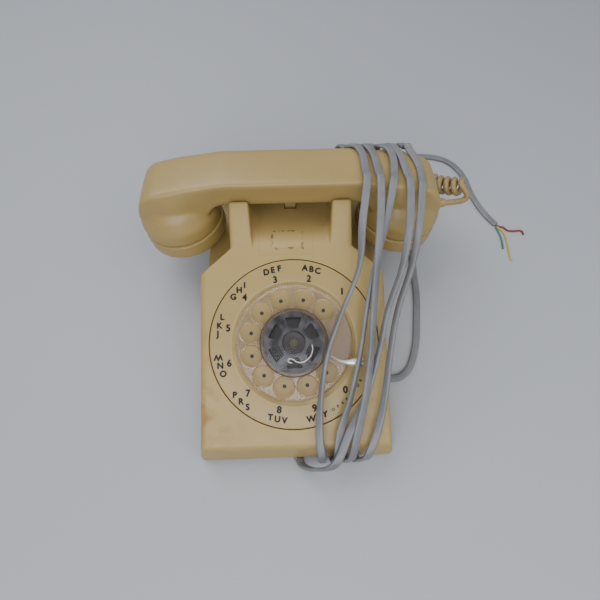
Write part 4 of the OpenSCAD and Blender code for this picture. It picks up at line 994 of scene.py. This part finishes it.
def new_material(name, colour, roughness=0.4, metallic=0.0):
    """A material and its shader, kept in MATS by its name."""
    mat = bpy.data.materials.new(name)
    mat.use_nodes = True
    shader = mat.node_tree.nodes["Principled BSDF"]
    shader.inputs["Base Color"].default_value = (*colour, 1)
    shader.inputs["Roughness"].default_value = roughness
    shader.inputs["Metallic"].default_value = metallic
    MATS[name] = mat
    return mat, shader


def fill(mat, socket, value):
    """Give a socket its value, or link it to the output that feeds it."""
    if isinstance(value, bpy.types.NodeSocket):
        mat.node_tree.links.new(value, socket)
    else:
        socket.default_value = (*value, 1) if isinstance(value, tuple) else value


def new_node(mat, kind, sockets, **settings):
    """A node with its settings made and its sockets filled, by name or number."""
    node = mat.node_tree.nodes.new("ShaderNode" + kind)
    for key, value in settings.items():
        setattr(node, key, value)
    for key, value in sockets.items():
        fill(mat, node.inputs[key], value)
    return node


def noise(mat, scale, detail):
    """Fractal noise from 0 to 1, with scale waves to a metre."""
    place = new_node(mat, "TexCoord", {}).outputs["Object"]
    return new_node(mat, "TexNoise", {"Vector": place, "Scale": scale, "Detail": detail}).outputs["Fac"]


def ramp(mat, value, low, high):
    """Colour that goes from low to high, each a pair of a place and a colour."""
    node = new_node(mat, "ValToRGB", {"Fac": value})
    for k, (place, colour) in enumerate((low, high)):
        node.color_ramp.elements[k].position = place
        node.color_ramp.elements[k].color = (*colour, 1)
    return node.outputs["Color"]


def mask(mat, scale, detail, low, high, most=1.0):
    """0 where noise is below low, rising to most where it is above high."""
    return ramp(mat, noise(mat, scale, detail), (low, (0.0,) * 3), (high, (most,) * 3))


def mix(mat, share, a, b):
    """Colour a times one minus share, plus colour b times share."""
    return new_node(mat, "Mix", {"Factor": share, "A": a, "B": b}, data_type="RGBA").outputs["Result"]


def node_math(mat, operation, *values):
    """Result of one operation on numbers or outputs."""
    return new_node(mat, "Math", dict(enumerate(values)), operation=operation).outputs["Value"]


def times(mat, *values):
    """Product of numbers or outputs."""
    product = values[0]
    for value in values[1:]:
        product = node_math(mat, "MULTIPLY", product, value)
    return product


def object_axes(mat):
    """X, Y and Z of a point in the object's own coordinates, in metres."""
    place = new_node(mat, "TexCoord", {}).outputs["Object"]
    split = new_node(mat, "SeparateXYZ", {"Vector": place})
    return split.outputs["X"], split.outputs["Y"], split.outputs["Z"]


def rough_from(mat, shader, value, low, high):
    """Roughness that goes from low to high with value."""
    node = new_node(mat, "MapRange", {"Value": value, "To Min": low, "To Max": high})
    fill(mat, shader.inputs["Roughness"], node.outputs["Result"])


def bump(mat, shader, value, height, strength):
    """Fine relief: height in millimetres times value."""
    node = new_node(mat, "Bump", {"Height": value, "Distance": height * MM, "Strength": strength})
    fill(mat, shader.inputs["Normal"], node.outputs["Normal"])


def last_colour(shader):
    """The output that colours the shader so far."""
    return shader.inputs["Base Color"].links[0].from_socket

# %% [markdown]
# The yellowed plastic has three layers: a slow drift of its colour, brown stains that gather in places,
# and fine specks.

# %% Yellowed plastic
STAIN, SPECK = (0.19, 0.095, 0.022), (0.18, 0.11, 0.05)
STAIN_MOST, STAIN_BLUR, SPECK_MOST = 0.55, 0.14, 0.5


def aged_plastic(name, base, pale, stain_at, rough=0.36):
    """Yellowed plastic between two tints; more noise than stain_at makes a stain."""
    mat, shader = new_material(name, base, rough)
    colour = ramp(mat, noise(mat, 14, 3), (0.35, base), (0.65, pale))
    colour = mix(mat, mask(mat, 38, 6, stain_at, stain_at + STAIN_BLUR, STAIN_MOST), colour, STAIN)
    colour = mix(mat, mask(mat, 420, 2, 0.70, 0.76, SPECK_MOST), colour, SPECK)
    fill(mat, shader.inputs["Base Color"], colour)
    rough_from(mat, shader, noise(mat, 120, 5), rough - 0.06, rough + 0.14)
    bump(mat, shader, noise(mat, 900, 3), 0.05, 0.12)
    return mat, shader


ivory, ivory_shader = aged_plastic(
    "yellowed_ivory_plastic", (0.335, 0.235, 0.080), (0.37, 0.265, 0.102), 0.66)
plate_ivory, plate_shader = aged_plastic(
    "dial_plate_plastic", (0.325, 0.229, 0.083), (0.35, 0.25, 0.096), 0.70, 0.3)
aged_plastic("handset_plastic", (0.315, 0.222, 0.077), (0.34, 0.244, 0.093), 0.68, 0.33)
print("plastics:", ", ".join(MATS))

# %% [markdown]
# A label has left its glue at the top of the face: a faint outer line, a paler patch and torn dark
# flecks. Brown stains lie at the lower left of the face.

# %% Marks on the housing
LABEL, LABEL_FRAME = ((-13, 125.5), (7.5, 141)), ((-22, 121.5), (14.5, 144))
LABEL_PALE, LABEL_LINE, FRAME_LINE, FLECK = (
    (0.42, 0.31, 0.13), (0.20, 0.12, 0.04), (0.22, 0.14, 0.05), (0.10, 0.06, 0.03))
# Each stain's middle, its reach to both sides and its depth
STAINS = [((-58, 30), (10, 17), 0.95), ((-50, 14), (20, 10), 0.7), ((-56, 60), (6, 20), 0.3),
          ((20, 10), (30, 6), 0.3), ((50, 30), (10, 25), 0.35)]
STAIN_BROWN = (0.26, 0.125, 0.02)


def rectangle(mat, low, high):
    """How far a point is outside a rectangle in X and Y, in metres; negative inside it."""
    x, y, _ = object_axes(mat)
    sides = []
    for axis, a, b in ((x, low[0], high[0]), (y, along(low[1]), along(high[1]))):
        away = node_math(mat, "ABSOLUTE", node_math(mat, "SUBTRACT", axis, (a + b) / 2 * MM))
        sides.append(node_math(mat, "SUBTRACT", away, (b - a) / 2 * MM))
    return node_math(mat, "MAXIMUM", *sides)


def band(mat, distance, half_width):
    """1 within half_width millimetres of zero, else 0."""
    return node_math(mat, "LESS_THAN", node_math(mat, "ABSOLUTE", distance), half_width * MM)


def blot(mat, place, reach):
    """1 at the middle of an oval spot, less the squared way from it in reaches, down to 0."""
    x, y, _ = object_axes(mat)
    dx = node_math(mat, "DIVIDE", node_math(mat, "SUBTRACT", x, place[0] * MM), reach[0] * MM)
    dy = node_math(mat, "DIVIDE", node_math(mat, "SUBTRACT", y, along(place[1]) * MM), reach[1] * MM)
    square = node_math(mat, "ADD", times(mat, dx, dx), times(mat, dy, dy))
    return node_math(mat, "MAXIMUM", node_math(mat, "SUBTRACT", 1.0, square), 0.0)


patch = rectangle(ivory, *LABEL)
frame_line = band(ivory, rectangle(ivory, *LABEL_FRAME), 0.22)
patch_line = band(ivory, patch, 0.25)
flecks = times(ivory, band(ivory, patch, 0.9), mask(ivory, 330, 5, 0.50, 0.56))
shade = last_colour(ivory_shader)
for share, depth, tint in ((node_math(ivory, "LESS_THAN", patch, 0.0), 0.35, LABEL_PALE),
                           (frame_line, 0.3, FRAME_LINE), (patch_line, 0.3, LABEL_LINE), (flecks, 0.8, FLECK)):
    shade = mix(ivory, times(ivory, share, depth), shade, tint)
cloud = mask(ivory, 90, 6, 0.40, 0.62)
for place, reach, depth in STAINS:
    shade = mix(ivory, times(ivory, blot(ivory, place, reach), cloud, depth), shade, STAIN_BROWN)
fill(ivory, ivory_shader.inputs["Base Color"], shade)
print("nodes in the housing's plastic:", len(ivory.node_tree.nodes))

# %% [markdown]
# The dish's sloping edge is painted paler: painted light that lifts the shade falling on that slope and in the
# gap round the wheel.
# Seen from above the dial is squashed along Y by the cosine of the face's slope, so Y is divided by it before
# the distance from the dial's middle is taken.

# %% Painted light on the number plate
# Paler tint, ring width and ring place of painted light that lifts the shade on the dish's sloping edge
PAINTED_LIGHT_TINT, LIGHT_RING_W, LIGHT_RING_IN = (0.44, 0.335, 0.145), 3.0, 0.4
x, y, _ = object_axes(plate_ivory)
y = node_math(plate_ivory, "SUBTRACT", y, along(DIAL_P) * MM)
y = node_math(plate_ivory, "DIVIDE", y, math.cos(FACE_TILT))
radius = node_math(plate_ivory, "SQRT", node_math(
    plate_ivory, "ADD", times(plate_ivory, x, x), times(plate_ivory, y, y)))
away = node_math(plate_ivory, "ABSOLUTE", node_math(plate_ivory, "SUBTRACT", radius, (DISH_R - LIGHT_RING_IN) * MM))
painted_light_ring = node_math(plate_ivory, "MAXIMUM", node_math(
    plate_ivory, "SUBTRACT", 1.0, node_math(plate_ivory, "DIVIDE", away, LIGHT_RING_W * MM)), 0.0)
# The paler ring is painted light over the shaded slope round the wheel
shade = mix(plate_ivory, painted_light_ring, last_colour(plate_shader), PAINTED_LIGHT_TINT)
fill(plate_ivory, plate_shader.inputs["Base Color"], shade)
print("nodes in the plate's plastic:", len(plate_ivory.node_tree.nodes))

# %% [markdown]
# The other materials are plain, or have a roughness that wanders with noise.

# %% Other materials
# Colour, roughness and metallic
PLAIN = {
    "curled_cord_plastic": ((0.27, 0.19, 0.075), 0.4, 0.0),
    "dial_print": ((0.012, 0.011, 0.010), 0.5, 0.0),
    "red_insulation": ((0.16, 0.015, 0.012), 0.4, 0.0),
    "yellow_insulation": ((0.45, 0.42, 0.06), 0.4, 0.0),
    "green_insulation": ((0.03, 0.16, 0.12), 0.4, 0.0),
    "dulled_brass": ((0.10, 0.09, 0.06), 0.45, 0.7),
    "dark_rim": ((0.03, 0.022, 0.03), 0.4, 0.0),
    "black_rubber": ((0.02, 0.02, 0.02), 0.6, 0.0),
    "dark_moulded_plastic": ((0.035, 0.03, 0.028), 0.4, 0.0),
    "enamelled_copper": ((0.35, 0.12, 0.05), 0.35, 0.6),
    "yellowed_nylon": ((0.34, 0.24, 0.10), 0.45, 0.0),
    "pale_dust_cover": ((0.62, 0.62, 0.58), 0.3, 0.0),
    "aluminium_capsule": ((0.55, 0.55, 0.53), 0.35, 1.0),
    "pale_table": ((0.355, 0.372, 0.405), 0.6, 0.0),
}
# Colour, roughness and metallic; scale and detail of the noise; least and greatest roughness
WORN = {
    "worn_chrome": ((0.84, 0.84, 0.83), 0.2, 0.6, 300, 4, 0.1, 0.3),
    "zinc_plate": ((0.48, 0.48, 0.46), 0.4, 1.0, 90, 5, 0.3, 0.6),
    "brass": ((0.62, 0.47, 0.20), 0.35, 1.0, 150, 4, 0.25, 0.5),
}
for name, look in PLAIN.items():
    new_material(name, *look)
for name, (colour, roughness, metallic, scale, detail, low, high) in WORN.items():
    mat, shader = new_material(name, colour, roughness, metallic)
    rough_from(mat, shader, noise(mat, scale, detail), low, high)
mat, shader = new_material("grey_cord_jacket", (0.20, 0.205, 0.21), 0.5)
fill(mat, shader.inputs["Base Color"],
     ramp(mat, noise(mat, 60, 4), (0.3, (0.13, 0.135, 0.145)), (0.7, (0.18, 0.185, 0.20))))
rough_from(mat, shader, noise(mat, 200, 4), 0.3, 0.48)
mat, shader = new_material("card_plate_metal", (0.06, 0.06, 0.065), 0.35, 0.8)
fill(mat, shader.inputs["Base Color"],
     ramp(mat, noise(mat, 130, 5), (0.35, (0.035, 0.035, 0.04)), (0.65, (0.13, 0.13, 0.14))))
_, shader = new_material("cloudy_clear_plastic", (0.84, 0.77, 0.72), 0.1)
shader.inputs["Transmission Weight"].default_value = 0.96
shader.inputs["IOR"].default_value = 1.46
_, shader = new_material("clear_window_plastic", (0.03, 0.025, 0.03), 0.12)
shader.inputs["Alpha"].default_value = 0.12
print("materials:", len(MATS))

# %% [markdown]
# The pieces that are shown by their CAD solids only get new materials.

# %% Materials of the CAD solids
KINDS = {
    "zinc_plate": ["base_plate", "housing_screws", "ringer_frame", "gong_posts", "clapper", "clapper_pin",
                   "loudness_pin", "hookswitch_frame", "hook_pin", "hook_spring", "dial_bracket", "dial_frame",
                   "main_shaft", "governor_cup"],
    "brass": ["terminal_screws", "low_gong", "high_gong", "contact_pile", "main_gear", "governor_pinion",
              "pulse_contacts"],
    "dulled_brass": ["hub_screw"],
    "dark_moulded_plastic": ["network_block", "contact_cup"],
    "black_rubber": ["loudness_wheel", "handset_grommet", "line_grommet"],
    "enamelled_copper": ["ringer_coil"],
    "pale_dust_cover": ["dial_cover"],
    "card_plate_metal": ["card_holder"],
    "clear_window_plastic": ["card_window"],
    "aluminium_capsule": ["receiver_unit", "transmitter_unit"],
}
for name, solids in KINDS.items():
    for solid in solids:
        for spot in bpy.data.objects[solid].material_slots:
            spot.material = MATS[name]
print("CAD solids in their materials:", sum(len(solids) for solids in KINDS.values()))

# %% [markdown]
# ## Who carries what
# Each piece rides on the CAD body that carries it.

# %% Riding
def dress(obj, name):
    """Give a piece one material, by its name."""
    obj.data.materials.clear()
    obj.data.materials.append(MATS[name])


# Piece, material, the body it rides on and the CAD nodes it replaces
PIECES = [
    (housing, "yellowed_ivory_plastic", "root", ["housing"]),
    (number_plate, "dial_plate_plastic", "root", ["number_plate"]),
    (dial_characters, "dial_print", "root", []),
    (dial_dots, "dial_print", "root", []),
    (finger_stop, "worn_chrome", "root", ["finger_stop"]),
    (fingerwheel, "cloudy_clear_plastic", "dial", ["fingerwheel"]),
    (card_spring, "worn_chrome", "dial", ["card_spring"]),
    (hub_backing, "black_rubber", "dial", []),
    (hub_collar, "dark_rim", "dial", []),
    (hub_rim, "dark_rim", "dial", []),
    (hook_lever, "yellowed_nylon", "hook", ["hook_lever"]),
    (handset, "handset_plastic", "handset", ["handset_shell"]),
    (receiver_cap, "handset_plastic", "handset", ["receiver_cap"]),
    (transmitter_cap, "handset_plastic", "handset", ["transmitter_cap"]),
    (handset_boot, "handset_plastic", "handset", ["handset_boot"]),
]
for obj, material, body, nodes in PIECES:
    dress(obj, material)
    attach(obj, body)
    if nodes:
        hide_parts(*nodes)
print("pieces that ride:", len(PIECES))

# %% [markdown]
# The wound cord and the curled cord keep the places where they are made and ride on no body.
# The conductors stay on the table.

# %% Cords and conductors
dress(line_cord, "grey_cord_jacket")
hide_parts("line_cord_lead", "line_cord_winding", "line_cord_tail")
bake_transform(line_cord)
dress(handset_cord, "curled_cord_plastic")
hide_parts("handset_cord")
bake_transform(handset_cord)
for wire_name, wire in wires.items():
    dress(wire, wire_name.replace("conductor", "insulation"))
    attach(wire, "root")
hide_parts("line_conductors")
print("cords and conductors:", 2 + len(wires))

# %% [markdown]
# ## Floor and light
# A plain pale table and three soft lamps.

# %% Stage
FLOOR_HALF = 1500
floor = add_mesh("floor", [[-FLOOR_HALF, -FLOOR_HALF, 0], [FLOOR_HALF, -FLOOR_HALF, 0],
                           [FLOOR_HALF, FLOOR_HALF, 0], [-FLOOR_HALF, FLOOR_HALF, 0]], [[0, 1, 2, 3]])
dress(floor, "pale_table")
# Name, place and edge in metres, power in watts
LAMPS = [
    ("key", (-0.35, 0.45, 0.85), 0.7, 5.5),
    ("fill", (0.55, -0.25, 0.75), 0.9, 3.6),
    ("front", (-0.15, -0.7, 0.7), 0.8, 7.4),
]
AIM = np.array([0, 0, 0.03])
ROOM_COLOUR, ROOM_STRENGTH = (0.92, 0.94, 0.97, 1), 0.42
for name, at, size, power in LAMPS:
    data = bpy.data.lights.new(name, "AREA")
    data.shape = "SQUARE"
    data.size = size
    data.energy = power
    lamp = bpy.data.objects.new(name, data)
    lamp.location = at
    direction = AIM - np.array(at)
    lamp.rotation_euler = (math.acos(-direction[2] / np.linalg.norm(direction)), 0,
                           math.atan2(direction[1], direction[0]) - math.pi / 2)
    bpy.context.scene.collection.objects.link(lamp)
world = bpy.data.worlds.new("soft_room")
world.use_nodes = True
background = world.node_tree.nodes["Background"]
background.inputs["Color"].default_value = ROOM_COLOUR
background.inputs["Strength"].default_value = ROOM_STRENGTH
bpy.context.scene.world = world
print("lamps:", ", ".join(lamp[0] for lamp in LAMPS))
